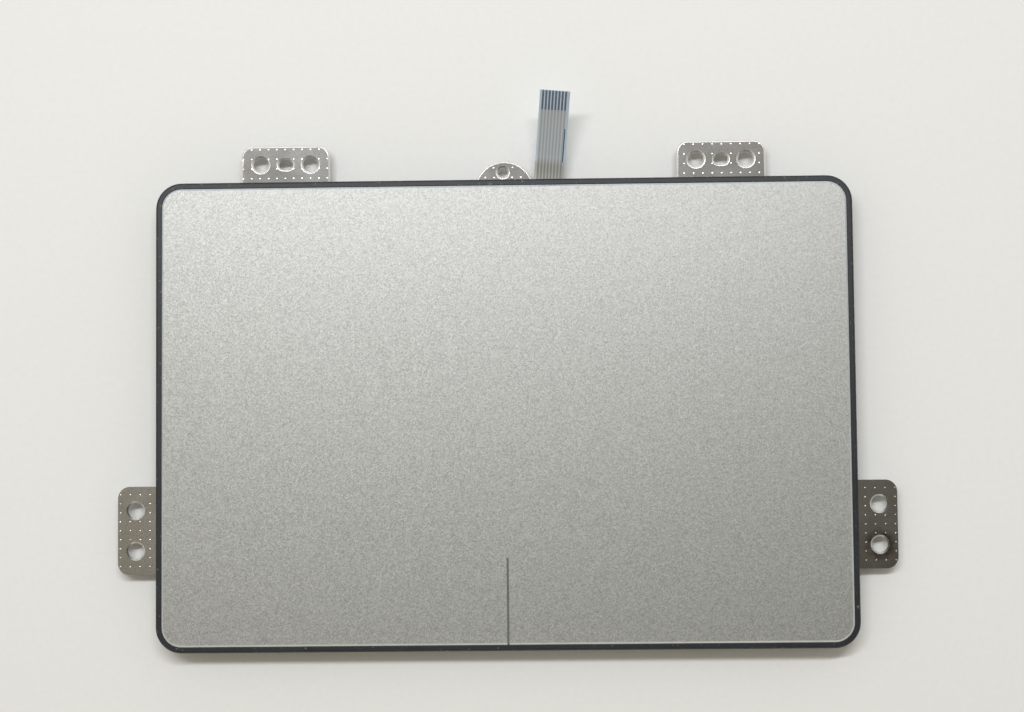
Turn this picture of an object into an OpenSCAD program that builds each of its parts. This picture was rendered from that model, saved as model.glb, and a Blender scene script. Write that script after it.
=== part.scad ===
// Click trackpad module of a laptop: a sprung touch plate over a stamped steel bracket.
// Millimetres. +X right, +Y towards the ribbon cable, +Z up out of the touch surface.
// The origin is the middle of the footprint, on the surface that the module lies on.

/* [Touch sheet] */
// Width of the touch sheet
sheet_w = 105; // [90:0.5:125]
// Depth of the touch sheet
sheet_d = 70; // [60:0.5:85]
// Thickness of the touch sheet
sheet_t = 0.6; // [0.4:0.05:1]
// Corner radius of the touch sheet
sheet_r = 3; // [2:0.1:5]
// Width of the polished chamfer round the sheet's top edge
chamfer_w = 0.28; // [0.15:0.01:0.4]
// Height of the polished chamfer
chamfer_h = 0.2; // [0.1:0.01:0.3]
// How far the sheet stands above the rim
sheet_proud = 0.2; // [0.1:0.01:0.35]
// Length of the line between the two button areas
divider_l = 12.8; // [8:0.1:20]
// How far that line lies right of the middle
divider_x = 0.2; // [-2:0.05:2]
// Width of that line
divider_w = 0.27; // [0.15:0.01:0.5]
// Depth of that line
divider_depth = 0.08; // [0.04:0.01:0.15]
// Thickness of the adhesive under the sheet
adhesive_t = 0.1; // [0.05:0.01:0.2]
// How far the adhesive and the board stay inside the sheet's edge
layer_inset = 0.3; // [0.2:0.05:0.8]

/* [Rim] */
// Width of the black rim round the sheet, gap included
rim_w = 0.95; // [0.8:0.05:1.5]
// Gap between the sheet's edge and the rim
sheet_gap = 0.05; // [0.03:0.01:0.15]
// Bevel on the rim's outer top edge
rim_bevel = 0.25; // [0.1:0.05:0.4]
// Width of the ledge that the board lies on
ledge_w = 1.6; // [1:0.1:2.5]
// Thickness of that ledge
ledge_t = 0.4; // [0.3:0.05:0.8]
// Distance between the two hooks that hold the front edge down
hook_span = 60; // [40:1:74]
// Width of a hook
hook_w = 6; // [3:0.5:9]
// Thickness of a hook's stem and of its barb
hook_t = 0.7; // [0.5:0.05:0.8]
// How far a hook's barb reaches under the bracket
hook_reach = 0.9; // [0.5:0.1:1.5]
// Gap between a hook and the bracket
hook_gap = 0.08; // [0.05:0.01:0.15]

/* [Bracket] */
// Thickness of the stamped sheet
bracket_t = 0.5; // [0.3:0.05:0.7]
// Height of the folded flanges that the module stands on
flange_h = 1.8; // [1.5:0.1:2.6]
// Inner radius of the folds
bend_r = 0.3; // [0.1:0.05:0.5]
// Width of the relief cut at each end of a fold
relief_w = 0.8; // [0.4:0.1:1.5]
// How far the bracket's edge stays inside the rim
bracket_inset = 1.5; // [1.3:0.1:2]
// Corner radius of the bracket
bracket_r = 3; // [1:0.5:6]
// Width of the bar along the cable side
rear_bar = 9; // [8:0.5:11]
// Width of the bars at the left and right
side_bar = 12; // [10:0.5:16]
// Width of the bar along the front
front_bar = 15; // [13:0.5:18]
// Corner radius of the bracket's window
window_r = 2; // [1:0.5:4]
// Length that each fold stays short of the window's corners
fold_margin = 5; // [4:0.5:9]

/* [Mounting tabs] */
// Distance between the middles of the two rear tabs
rear_tab_span = 67.4; // [60:0.2:76]
// Width of a rear tab
rear_tab_w = 13.8; // [12.6:0.1:16]
// How far a rear tab reaches past the rim
rear_tab_reach = 6; // [5:0.1:8]
// Distance between a rear tab's two screw holes
rear_hole_span = 7.7; // [7:0.1:8.5]
// Diameter of a rear tab's screw hole
rear_hole_d = 2.3; // [2:0.05:2.6]
// Length of a rear tab's locating slot
slot_l = 2.1; // [1.8:0.05:2.5]
// Width of that slot
slot_w = 1.5; // [1.2:0.05:1.7]
// How far the rear holes and slots lie past the rim
rear_hole_y = 3.05; // [2.6:0.05:3.6]
// Length of a side tab
side_tab_l = 13.5; // [11:0.1:16]
// How far a side tab reaches past the rim
side_tab_reach = 6.25; // [5:0.05:8]
// How far the side tabs lie in front of the sheet's middle
side_tab_y = 17.4; // [10:0.1:20]
// Distance between a side tab's two screw holes
side_hole_span = 6.2; // [5:0.1:8]
// Diameter of a side tab's screw hole
side_hole_d = 2.4; // [2:0.05:2.8]
// How far the side holes lie past the rim
side_hole_x = 3.5; // [2.6:0.05:3.9]
// Corner radius of the tabs
tab_r = 1.8; // [1:0.1:2.5]
// Radius of the half-round ear at the middle of the cable side
ear_r = 4.7; // [4:0.1:5.5]
// How far the ear reaches past the rim
ear_reach = 3.2; // [2.8:0.1:4]
// How far the ear lies right of its hole
ear_x = 0.2; // [-0.5:0.05:0.5]
// Diameter of the ear's hole
ear_hole_d = 1.5; // [1.2:0.05:2]
// How far the ear's hole lies past the rim
ear_hole_y = 1.4; // [1.2:0.05:1.6]
// Rounded-in mouth of each hole: added radius and depth
mouth = 0.25; // [0.1:0.05:0.3]
// Rolled top edge of the rear tabs and the ear
tab_edge = 0.25; // [0.1:0.05:0.3]

/* [Click hinge] */
// Gap between the bracket and the rim, which the click uses up in part
click_gap = 0.5; // [0.4:0.05:0.8]
// Width of a hinge leaf
leaf_w = 12; // [10:0.5:15]
// Thickness of a hinge leaf
leaf_t = 0.2; // [0.1:0.02:0.25]
// Length of the foot on the bracket
foot_l = 5.5; // [5:0.1:6]
// Length of the leaf's bend between its two levels
bend_l = 2.4; // [1.5:0.1:3]
// Length of the arm under the board
arm_l = 8.5; // [6:0.5:12]
// Distance of the leaf's foot from the bracket's rear edge
foot_edge = 1; // [0.5:0.1:1.5]
// Width of the window that softens a leaf
leaf_window_w = 6; // [4:0.5:8]
// Length of that window
leaf_window_l = 6; // [4:0.5:8]
// Gap between a leaf and the window's fold beside it
leaf_side_gap = 2; // [1:0.5:4]
// Thickness of the bonding tape over a leaf's arm
tape_t = 0.1; // [0.05:0.01:0.2]
// Gap that the arm's flexing needs under the tape
flex_gap = 0.05; // [0.04:0.01:0.1]
// Shank diameter of the leaf rivets
rivet_d = 1.4; // [1:0.1:1.8]
// Head diameter of the leaf rivets
rivet_head_d = 2.4; // [2:0.1:3]
// Height of a rivet's head
rivet_head_h = 0.2; // [0.1:0.05:0.25]
// Distance between a leaf's two rivets
rivet_span = 8.4; // [7:0.2:9]
// Clearance round pins, rivets and screws in their holes
pin_gap = 0.03; // [0.02:0.01:0.06]
// Length of a foam damper
damper_l = 8; // [5:0.5:12]
// Width of a foam damper
damper_w = 4; // [3:0.5:6]
// Gap between a damper and the board
damper_gap = 0.3; // [0.26:0.02:0.4]
// Distance of a damper from the bracket's edges
damper_edge = 3; // [2:0.5:5]

/* [Board] */
// Thickness of the sensor board
board_t = 0.8; // [0.6:0.05:1.2]
// Side of the touch controller
chip_side = 7; // [5:0.5:9]
// Height of the touch controller
chip_h = 0.8; // [0.6:0.05:0.85]
// How far the controller lies left of the middle
chip_x = 9; // [7:0.5:14]
// How far the controller lies behind the sheet's middle
chip_y = 4; // [0:0.5:10]
// Terminals along each side of the controller
chip_pins = 12; // [8:1:14]
// Distance between those terminals
chip_pitch = 0.5; // [0.4:0.01:0.5]
// Length of a chip capacitor or resistor
passive_l = 1; // [0.6:0.1:1.6]
// Width of a chip capacitor or resistor
passive_w = 0.5; // [0.3:0.05:0.8]
// Distance between neighbouring chip parts
passive_pitch = 1.2; // [1:0.1:1.6]
// Capacitors in each of the two rows beside the controller
cap_count = 6; // [3:1:7]
// Resistors in the row in front of the controller
resistor_count = 8; // [4:1:10]
// Distance of the rows of chip parts from the controller's side
passive_gap = 1.5; // [1:0.1:3]
// Length of the voltage regulator's body
regulator_l = 2.9; // [2:0.1:4]
// Width of the voltage regulator's body
regulator_w = 1.6; // [1.2:0.1:2]

/* [Cable connector] */
// Conductors of the ribbon cable
ways = 8; // [6:1:10]
// Distance between the conductors
way_pitch = 0.5; // [0.5:0.05:0.6]
// Housing to each side of the outer conductors
housing_margin = 2.2; // [2:0.1:3]
// Depth of the connector's housing
housing_d = 4.4; // [4.2:0.1:6]
// Height of the connector's housing
housing_h = 1; // [0.95:0.05:1.3]
// How far the connector lies right of the middle
connector_x = 4.75; // [3:0.05:8]
// How far the housing's mouth lies inside the rim's rear edge
mouth_setback = 24; // [23:0.5:25]
// Depth of the slot that takes the ribbon
slot_depth = 2.2; // [1.5:0.1:2.4]
// Height of that slot
slot_h = 0.36; // [0.3:0.02:0.4]
// Spare width of that slot beside the ribbon
slot_spare = 0.5; // [0.4:0.1:0.8]
// Thickness of the housing's cheeks beside the latch
cheek_t = 0.6; // [0.5:0.05:0.8]
// Radius of the latch's round nose, about its axis
latch_nose_r = 0.28; // [0.25:0.01:0.3]
// Length of the latch from its axis to its lip
latch_l = 1.3; // [1:0.1:1.4]
// Thickness of the latch's flap
latch_t = 0.4; // [0.3:0.05:0.45]
// Gap round the latch
latch_gap = 0.08; // [0.05:0.01:0.1]
// Radius of the latch's trunnions
trunnion_r = 0.16; // [0.12:0.01:0.18]

/* [Click switch] */
// Side of the switch
switch_side = 4.8; // [4.4:0.1:6]
// Distance of the switch's middle from the bracket's front edge
switch_setback = 6.5; // [5:0.1:8]
// Thickness of the switch's floor on the board
switch_floor_t = 0.12; // [0.08:0.01:0.2]
// Depth of the switch's round well
well_depth = 0.4; // [0.36:0.01:0.5]
// Radius of that well
well_r = 2; // [1.8:0.05:2.1]
// Thickness of the switch's cover plate
cover_t = 0.1; // [0.06:0.01:0.12]
// Radius of the snap dome
dome_r = 1.8; // [1.5:0.05:1.9]
// Height of the snap dome
dome_h = 0.25; // [0.2:0.01:0.28]
// Thickness of the snap dome
dome_t = 0.05; // [0.03:0.01:0.08]
// Radius of the plunger's stem
plunger_r = 0.8; // [0.6:0.05:1]
// How much wider the plunger's flange is than its stem
flange_lip = 0.4; // [0.3:0.05:0.5]
// Thickness of that flange
flange_t = 0.1; // [0.06:0.01:0.12]
// Gap round the plunger
plunger_gap = 0.03; // [0.02:0.005:0.04]
// How far the plunger stands out of the cover at rest
plunger_out = 0.26; // [0.23:0.01:0.3]
// Gap between the plunger and the strike screw
strike_gap = 0.02; // [0.01:0.005:0.03]
// Diameter of the strike screw
strike_d = 2; // [1.6:0.1:2.4]
// Length of the strike screw
strike_l = 1.4; // [1.2:0.1:1.5]
// Wall of the drawn collar that the strike screw runs in
collar_wall = 0.45; // [0.3:0.05:0.7]
// Height of that collar below the bracket
collar_h = 0.6; // [0.4:0.05:0.8]

/* [Ribbon cable] */
// Width of the ribbon
ribbon_w = 4.5; // [4.5:0.1:5]
// Thickness of the ribbon
ribbon_t = 0.15; // [0.1:0.01:0.2]
// Thickness of the stiffener behind the ribbon's end
stiffener_t = 0.15; // [0.1:0.01:0.25]
// How far the stiffener sits off the ribbon's middle
stiffener_shift = 0.1; // [0:0.05:0.3]
// Lean of the ribbon to the right, in degrees
ribbon_lean = 5; // [0:0.5:5]
// Width of a bare contact at the ribbon's end
contact_w = 0.3; // [0.2:0.02:0.4]
// Thickness of a bare contact
contact_t = 0.04; // [0.03:0.01:0.06]

/* [Hidden] */
$fn = 64;
// Overlap that joins the solids of one piece
weld = 0.01;
// How far a cut runs past the face that it opens
over = 0.5;

// Levels, from the surface that the module lies on
bracket_z = flange_h;
bracket_top = bracket_z + bracket_t;
rim_z = bracket_top + click_gap;
board_z = rim_z + ledge_t;
adhesive_z = board_z + board_t;
sheet_z = adhesive_z + adhesive_t;
sheet_top = sheet_z + sheet_t;
rim_top = sheet_top - sheet_proud;

// Outlines in plan, about the middle of the sheet
rim_out_w = sheet_w + 2 * rim_w;
rim_out_d = sheet_d + 2 * rim_w;
rim_r = sheet_r + rim_w;
recess_w = sheet_w + 2 * sheet_gap;
recess_d = sheet_d + 2 * sheet_gap;
recess_r = sheet_r + sheet_gap;
layer_w = sheet_w - 2 * layer_inset;
layer_d = sheet_d - 2 * layer_inset;
layer_r = sheet_r - layer_inset;
plate_w = rim_out_w - 2 * bracket_inset;
plate_d = rim_out_d - 2 * bracket_inset;
window_w = plate_w - 2 * side_bar;
window_d = plate_d - front_bar - rear_bar;
window_y = (front_bar - rear_bar) / 2;
fold_r = bend_r + bracket_t;
// The footprint's middle lies behind the sheet's middle by half the rear tabs' reach
frame_y = -rear_tab_reach / 2;

// Places of the hinge leaves, dampers and switch
leaf_x = window_w / 2 - leaf_side_gap - leaf_w / 2;
leaf_rear = plate_d / 2 - foot_edge;
foot_front = leaf_rear - foot_l;
bend_front = foot_front - bend_l;
leaf_front = bend_front - arm_l;
arm_top = board_z - tape_t - flex_gap;
rivet_y = leaf_rear - foot_l / 2;
damper_x = plate_w / 2 - damper_edge - damper_l / 2;
damper_y = plate_d / 2 - damper_edge - damper_w / 2;
damper_t = board_z - bracket_top - damper_gap;
switch_y = -plate_d / 2 + switch_setback;
cover_z = board_z - switch_floor_t - well_depth - cover_t;
dome_z = board_z - switch_floor_t;
plunger_tip = cover_z - plunger_out;
strike_top = plunger_tip - strike_gap;
cover_hole_r = plunger_r + plunger_gap;
switch_r = 0.5;
socket_w = strike_d / 2;
socket_depth = strike_l / 2;
leaf_window_r = leaf_window_w / 6;
damper_r = damper_w / 8;
switch_terminal = [0.7, 0.6, 0.15];

// Connector, with its heights measured out from the board
housing_w = (ways - 1) * way_pitch + 2 * housing_margin;
mouth_y = rim_out_d / 2 - mouth_setback;
slot_mid = housing_h / 2;
latch_w = housing_w - 2 * cheek_t - 2 * latch_gap;
latch_y = latch_l + latch_gap;
latch_sink = 0.02;
latch_axis_h = housing_h - latch_nose_r - latch_sink;
lip_r = 0.06;
tail_l = 0.6;
tail_t = 0.12;
tail_w = 0.2;
hold_down_l = 1.6;
hold_down_w = 0.4;
hold_down_t = 0.15;
passive_h = passive_w;
resistor_h = 0.7 * passive_h;
cap_end = passive_l / 4;
end_swell = 0.03;
mark_d = 0.6;
mark_inset = 1;
mark_depth = 0.05;
terminal_out = 0.15;
terminal_h = 0.2;

// Voltage regulator and its bent leads
regulator_x = -chip_x + chip_side / 2 + passive_gap + 2 * passive_l + regulator_l / 2;
regulator_y = chip_y - chip_side / 2 - passive_gap - regulator_w;
regulator_h = 0.8;
regulator_lift = 0.1;
lead_w = 0.4;
lead_t = 0.15;
lead_out = 0.55;
lead_rise = 0.25;
lead_span = (regulator_l - lead_w) / 1.2;

// Ribbon's route in its own upright plane: distance from its inner end, height.
// It leaves the connector's slot, passes midway between bracket and rim, and rises to its free end.
slot_level = board_z - slot_mid;
pass_level = bracket_top + click_gap / 2;
drop = slot_level - pass_level;
ROUTE = concat(
    [[0, slot_level], [2, slot_level], [4, slot_level - drop / 4], [7, pass_level + drop / 5]],
    [for (run = [10, 14, 18, 22, 25]) [run, pass_level]],
    [for (rise = [
        [27, 0.05], [28, 0.15], [29, 0.3], [30, 0.5], [31, 0.8], [32, 1.15], [33, 1.55],
        [34, 2], [35, 2.5], [36.3, 3.25], [37, 3.7], [38, 4.35], [39.1, 5.1]
    ]) [rise[0], pass_level + rise[1]]]
);
// First route point of the stiffener and of the bare contacts
STIFFENER_FROM = 11;
CONTACTS_FROM = 18;
ribbon_play = 0.2;
ribbon_inner_y = mouth_y - slot_depth + ribbon_play;

// A rectangle with round corners, about the origin
module rounded(w, d, r) {
    square([w - 2 * r, d], center = true);
    square([w, d - 2 * r], center = true);
    for (x = [-1, 1], y = [-1, 1])
        translate([x * (w / 2 - r), y * (d / 2 - r)]) circle(r);
}

// A plate with round corners whose top edge is bevelled
module bevelled_plate(w, d, r, t, bevel_w, bevel_h) {
    function half(s) = [
        [-s / 2, 0], [s / 2, 0], [s / 2, t - bevel_h], [s / 2 - bevel_w, t],
        [bevel_w - s / 2, t], [-s / 2, t - bevel_h]
    ];
    rotate([90, 0, 0]) linear_extrude(d - 2 * r, center = true) polygon(half(w));
    rotate([90, 0, 90]) linear_extrude(w - 2 * r, center = true) polygon(half(d));
    for (x = [-1, 1], y = [-1, 1]) translate([x * (w / 2 - r), y * (d / 2 - r), 0]) {
        cylinder(t - bevel_h, r = r);
        translate([0, 0, t - bevel_h]) cylinder(bevel_h, r1 = r, r2 = r - bevel_w);
    }
}

// A round hole through the bracket with a mouth drawn in from the top
module drawn_hole(d) {
    translate([0, 0, bracket_z - over]) cylinder(bracket_t + 2 * over, d = d);
    translate([0, 0, bracket_top - mouth]) cylinder(mouth + weld, d1 = d, d2 = d + 2 * (mouth + weld));
}

// A slot along X through the bracket with the same drawn mouth
module drawn_slot(l, w) {
    run = l - w;
    for (x = [-1, 1]) translate([x * run / 2, 0, 0]) drawn_hole(w);
    translate([-run / 2, -w / 2, bracket_z - over]) cube([run, w, bracket_t + 2 * over]);
    translate([0, 0, bracket_top - mouth]) rotate([90, 0, 90]) linear_extrude(run, center = true)
        polygon([[-w / 2, 0], [w / 2, 0], [w / 2 + mouth + weld, mouth + weld], [-w / 2 - mouth - weld, mouth + weld]]);
}

// One folded flange along +Y: the plate's edge lies at +X, its foot on the ground
module fold(l) {
    rotate([90, 0, 0]) linear_extrude(l, center = true) {
        translate([0, 0]) square([bracket_t, bracket_z - bend_r + weld]);
        translate([fold_r, bracket_z - bend_r]) intersection() {
            difference() {
                circle(fold_r);
                circle(bend_r);
            }
            translate([-fold_r, 0]) square([fold_r + weld, fold_r]);
        }
    }
}

// The window's folds: side lengths and the front length
side_fold_l = window_d - 2 * fold_margin;
front_fold_l = window_w - 2 * fold_margin;

// Outline of the bracket's frame in plan, with its window and the relief cuts of the folds
module bracket_outline() difference() {
    rounded(plate_w, plate_d, bracket_r);
    translate([0, window_y]) {
        rounded(window_w, window_d, window_r);
        square([window_w + 2 * fold_r, side_fold_l + 2 * relief_w], center = true);
        translate([0, -window_d / 2]) square([front_fold_l + 2 * relief_w, 2 * fold_r], center = true);
    }
}

// Tabs and ear that reach out past the rim, the top edges of the rear tabs and the ear rolled
module bracket_tabs() {
    tab_root = bracket_inset + 2 * tab_r;
    for (x = [-1, 1]) {
        translate([x * rear_tab_span / 2, rim_out_d / 2 + (rear_tab_reach - tab_root) / 2, bracket_z])
            bevelled_plate(rear_tab_w, rear_tab_reach + tab_root, tab_r, bracket_t, tab_edge, tab_edge);
        translate([x * (rim_out_w / 2 + (side_tab_reach - tab_root) / 2), -side_tab_y, bracket_z])
            linear_extrude(bracket_t) rounded(side_tab_reach + tab_root, side_tab_l, tab_r);
    }
    translate([ear_x, rim_out_d / 2 + ear_reach - ear_r, bracket_z]) {
        cylinder(bracket_t - tab_edge, r = ear_r);
        translate([0, 0, bracket_t - tab_edge]) cylinder(tab_edge, r1 = ear_r, r2 = ear_r - tab_edge);
    }
}

// Stamped stainless bracket: plate, tabs, ear, folded flanges and the collar of the strike screw
module support_bracket() color("silver") difference() {
    union() {
        translate([0, 0, bracket_z]) linear_extrude(bracket_t) bracket_outline();
        bracket_tabs();
        for (x = [-1, 1]) translate([x * window_w / 2, window_y, 0]) rotate(x > 0 ? 0 : 180) fold(side_fold_l);
        translate([0, window_y - window_d / 2, 0]) rotate(-90) fold(front_fold_l);
        translate([0, switch_y, bracket_z - collar_h])
            cylinder(collar_h + weld, d = strike_d + 2 * collar_wall);
    }
    for (x = [-1, 1]) {
        translate([x * rear_tab_span / 2, rim_out_d / 2 + rear_hole_y, 0]) {
            for (s = [-1, 1]) translate([s * rear_hole_span / 2, 0, 0]) drawn_hole(rear_hole_d);
            drawn_slot(slot_l, slot_w);
        }
        translate([x * (rim_out_w / 2 + side_hole_x), -side_tab_y, 0])
            for (s = [-1, 1]) translate([0, s * side_hole_span / 2, 0]) drawn_hole(side_hole_d);
    }
    translate([0, rim_out_d / 2 + ear_hole_y, 0]) drawn_hole(ear_hole_d);
    translate([0, switch_y, bracket_z - collar_h - over])
        cylinder(collar_h + bracket_t + 2 * over, d = strike_d + 2 * pin_gap);
    for (x = [-1, 1], s = [-1, 1]) translate([x * leaf_x + s * rivet_span / 2, rivet_y, bracket_z - over])
        cylinder(bracket_t + 2 * over, d = rivet_d + 2 * pin_gap);
}

// Spring leaf: foot on the bracket, a bend up, and an arm under the board, with a softening window
module hinge_leaf(side) color("lightsteelblue") translate([side * leaf_x, 0, 0]) difference() {
    rotate([90, 0, 90]) linear_extrude(leaf_w, center = true) polygon([
        [leaf_rear, bracket_top], [leaf_rear, bracket_top + leaf_t], [foot_front, bracket_top + leaf_t],
        [bend_front, arm_top], [leaf_front, arm_top], [leaf_front, arm_top - leaf_t],
        [bend_front, arm_top - leaf_t], [foot_front, bracket_top]
    ]);
    translate([0, (foot_front + bend_front) / 2, bracket_top + leaf_t / 2]) linear_extrude(2 * click_gap + 2 * ledge_t, center = true)
        rounded(leaf_window_w, leaf_window_l, leaf_window_r);
    for (s = [-1, 1]) translate([s * rivet_span / 2, rivet_y, bracket_top - over])
        cylinder(leaf_t + 2 * over, d = rivet_d + 2 * pin_gap);
}

// Rivet through leaf and bracket, with a flat head on both sides
module leaf_rivet(i) color("gainsboro")
    translate([(i < 3 ? -1 : 1) * leaf_x + (i % 2 == 1 ? -1 : 1) * rivet_span / 2, rivet_y, 0]) {
        translate([0, 0, bracket_z - rivet_head_h]) cylinder(rivet_head_h, d = rivet_head_d);
        translate([0, 0, bracket_z - weld]) cylinder(bracket_t + leaf_t + 2 * weld, d = rivet_d);
        translate([0, 0, bracket_top + leaf_t]) cylinder(rivet_head_h, d = rivet_head_d);
    }

// Set screw that the switch's plunger lands on, driven from below through its socket
module strike_screw() color("dimgray") translate([0, switch_y, strike_top - strike_l]) difference() {
    cylinder(strike_l, d = strike_d);
    translate([0, 0, -over]) cylinder(over + socket_depth, d = socket_w, $fn = 6);
}

// Foam pad on a front corner of the bracket
module click_damper(side) color("black")
    translate([side * damper_x, -damper_y, bracket_top]) linear_extrude(damper_t) rounded(damper_l, damper_w, damper_r);

// Moulded frame: outer wall, ledge under the board, two hooks round the bracket's front edge
module rim_frame() color("#3a3d40") {
    translate([0, 0, rim_z]) difference() {
        bevelled_plate(rim_out_w, rim_out_d, rim_r, rim_top - rim_z, rim_bevel, rim_bevel);
        translate([0, 0, ledge_t]) linear_extrude(rim_top) rounded(recess_w, recess_d, recess_r);
        translate([0, 0, -over]) linear_extrude(rim_top)
            rounded(recess_w - 2 * ledge_w, recess_d - 2 * ledge_w, recess_r);
    }
    stem_in = -plate_d / 2 - hook_gap;
    barb_top = bracket_z - hook_gap;
    for (x = [-1, 1]) translate([x * hook_span / 2, 0, 0])
        rotate([90, 0, 90]) linear_extrude(hook_w, center = true) polygon([
            [stem_in, rim_z + weld], [stem_in, barb_top], [stem_in + hook_reach, barb_top],
            [stem_in, barb_top - hook_t], [stem_in - hook_t, barb_top - hook_t / 2], [stem_in - hook_t, rim_z + weld]
        ]);
}

// Printed sensor board on the rim's ledge
module sensor_board() color("darkgreen") translate([0, 0, board_z]) linear_extrude(board_t) rounded(layer_w, layer_d, layer_r);

// Clear film adhesive between board and sheet
module sheet_adhesive() color("white") translate([0, 0, adhesive_z]) linear_extrude(adhesive_t) rounded(layer_w, layer_d, layer_r);

// Silver touch sheet with its polished edge and the line between the button areas
module touch_sheet() color("#c8c9c3") translate([0, 0, sheet_z]) difference() {
    bevelled_plate(sheet_w, sheet_d, sheet_r, sheet_t, chamfer_w, chamfer_h);
    translate([divider_x - divider_w / 2, -sheet_d / 2 + chamfer_w, sheet_t - divider_depth]) cube([divider_w, divider_l, over]);
}

// Bonding tape between a leaf's arm and the board
module hinge_tape(side) color("khaki") translate([side * leaf_x, leaf_front + arm_l / 2, board_z - tape_t])
    linear_extrude(tape_t) square([leaf_w, arm_l], center = true);

// Places a piece on the board's underside: its own +Z points out of the board
module under_board(x, y) translate([x, y, board_z]) mirror([0, 0, 1]) children();

// Touch controller, with the round mark of its first terminal
module touch_controller() color("#202124") under_board(-chip_x, chip_y) difference() {
    translate([-chip_side / 2, -chip_side / 2, 0]) cube([chip_side, chip_side, chip_h]);
    translate([mark_inset - chip_side / 2, chip_side / 2 - mark_inset, chip_h - mark_depth]) cylinder(over, d = mark_d);
}

// Terminals on the four sides of the controller
module controller_terminals() color("gainsboro") under_board(-chip_x, chip_y)
    for (a = [0:90:270], i = [0:chip_pins - 1]) rotate(a)
        translate([chip_side / 2, (i - (chip_pins - 1) / 2) * chip_pitch - chip_pitch / 4, 0])
            cube([terminal_out, chip_pitch / 2, terminal_h]);

// Voltage regulator's body, right of the controller and in front of it
module voltage_regulator() color("#202124") under_board(regulator_x, regulator_y)
    translate([-regulator_l / 2, -regulator_w / 2, regulator_lift]) cube([regulator_l, regulator_w, regulator_h]);

// Bent leads of the regulator: three on one side, two on the other
module regulator_leads() color("gainsboro") under_board(regulator_x, regulator_y)
    for (side = [-1, 1], i = [-1:1]) if (side < 0 || i != 0)
        translate([i * lead_span / 2, side * regulator_w / 2, 0]) rotate([90, 0, -90]) mirror([side > 0 ? 1 : 0, 0, 0])
            linear_extrude(lead_w, center = true) polygon([
                [0, lead_rise + lead_t], [lead_t, lead_rise + lead_t], [lead_rise, lead_t],
                [lead_out, lead_t], [lead_out, 0], [lead_t, 0], [0, lead_rise]
            ]);

// A two-ended chip part: body and slightly thicker metal ends
module chip_part(h) {
    translate([-passive_l / 2 + cap_end / 2, -passive_w / 2, 0]) cube([passive_l - cap_end, passive_w, h]);
    for (x = [-1, 1]) translate([x * (passive_l - cap_end) / 2, 0, h / 2])
        cube([cap_end, passive_w + 2 * end_swell, h], center = true);
}

// Ceramic capacitors in a row on each side of the controller
module chip_capacitors() color("#b9976a") for (side = [-1, 1], i = [0:cap_count - 1])
    under_board(-chip_x + side * (chip_side / 2 + passive_gap), chip_y + (i - (cap_count - 1) / 2) * passive_pitch)
        chip_part(passive_h);

// Resistors in a row in front of the controller
module chip_resistors() color("#2b2b2b") for (i = [0:resistor_count - 1])
    under_board(-chip_x + (i - (resistor_count - 1) / 2) * passive_pitch, chip_y - chip_side / 2 - passive_gap)
        rotate(90) chip_part(resistor_h);

// Ribbon connector's housing: slot at its mouth, a bay for the latch between two cheeks
module connector_housing() color("ivory") under_board(connector_x, mouth_y - housing_d) difference() {
    bay_r = latch_nose_r + latch_gap;
    translate([-housing_w / 2, 0, 0]) cube([housing_w, housing_d, housing_h]);
    translate([-(ribbon_w + slot_spare) / 2, housing_d - slot_depth, slot_mid - slot_h / 2])
        cube([ribbon_w + slot_spare, slot_depth + over, slot_h]);
    translate([-housing_w / 2 + cheek_t, 0, 0]) {
        bay_w = housing_w - 2 * cheek_t;
        translate([0, latch_y, latch_axis_h]) rotate([0, 90, 0]) cylinder(bay_w, r = bay_r);
        translate([0, -over, latch_axis_h - bay_r + weld]) cube([bay_w, over + latch_y, housing_h]);
        translate([0, -over, latch_axis_h]) cube([bay_w, over + latch_y + bay_r, housing_h]);
    }
    translate([0, latch_y, latch_axis_h]) rotate([0, 90, 0])
        cylinder(housing_w - cheek_t, r = trunnion_r + latch_gap / 2, center = true);
}

// Solder tails of the connector's contacts, below its mouth
module connector_contacts() color("gold") for (i = [0:ways - 1])
    under_board(connector_x + (i - (ways - 1) / 2) * way_pitch, mouth_y)
        translate([-tail_w / 2, 0, 0]) cube([tail_w, tail_l, tail_t]);

// Soldered feet at the connector's two ends
module connector_hold_downs() color("gainsboro") for (x = [-1, 1])
    under_board(connector_x + x * (housing_w / 2 + hold_down_w / 2), mouth_y - housing_d / 2) {
        translate([-hold_down_w / 2, -hold_down_l / 2, 0]) cube([hold_down_w, hold_down_l, hold_down_t]);
        translate([-x * hold_down_w / 2 - (x > 0 ? 0 : hold_down_t), -hold_down_l / 2, 0])
            cube([hold_down_t, hold_down_l, housing_h / 2]);
    }

// Flip latch: round nose on two trunnions, and a flap with a finger lip
module connector_latch() color("#2a2422") under_board(connector_x, mouth_y - housing_d + latch_y)
    translate([0, 0, latch_axis_h]) rotate([90, 0, 90]) {
        linear_extrude(latch_w, center = true) {
            circle(latch_nose_r);
            translate([-latch_l, latch_nose_r - latch_t]) square([latch_l, latch_t]);
            translate([-latch_l, latch_nose_r - latch_t]) circle(lip_r);
        }
        linear_extrude(latch_w + cheek_t, center = true) circle(trunnion_r);
    }

// Body of the tactile switch: square, with a round well
module switch_base() color("#303236") under_board(0, switch_y) difference() {
    linear_extrude(switch_floor_t + well_depth) rounded(switch_side, switch_side, switch_r);
    translate([0, 0, switch_floor_t]) cylinder(well_depth + over, r = well_r);
}

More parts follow.
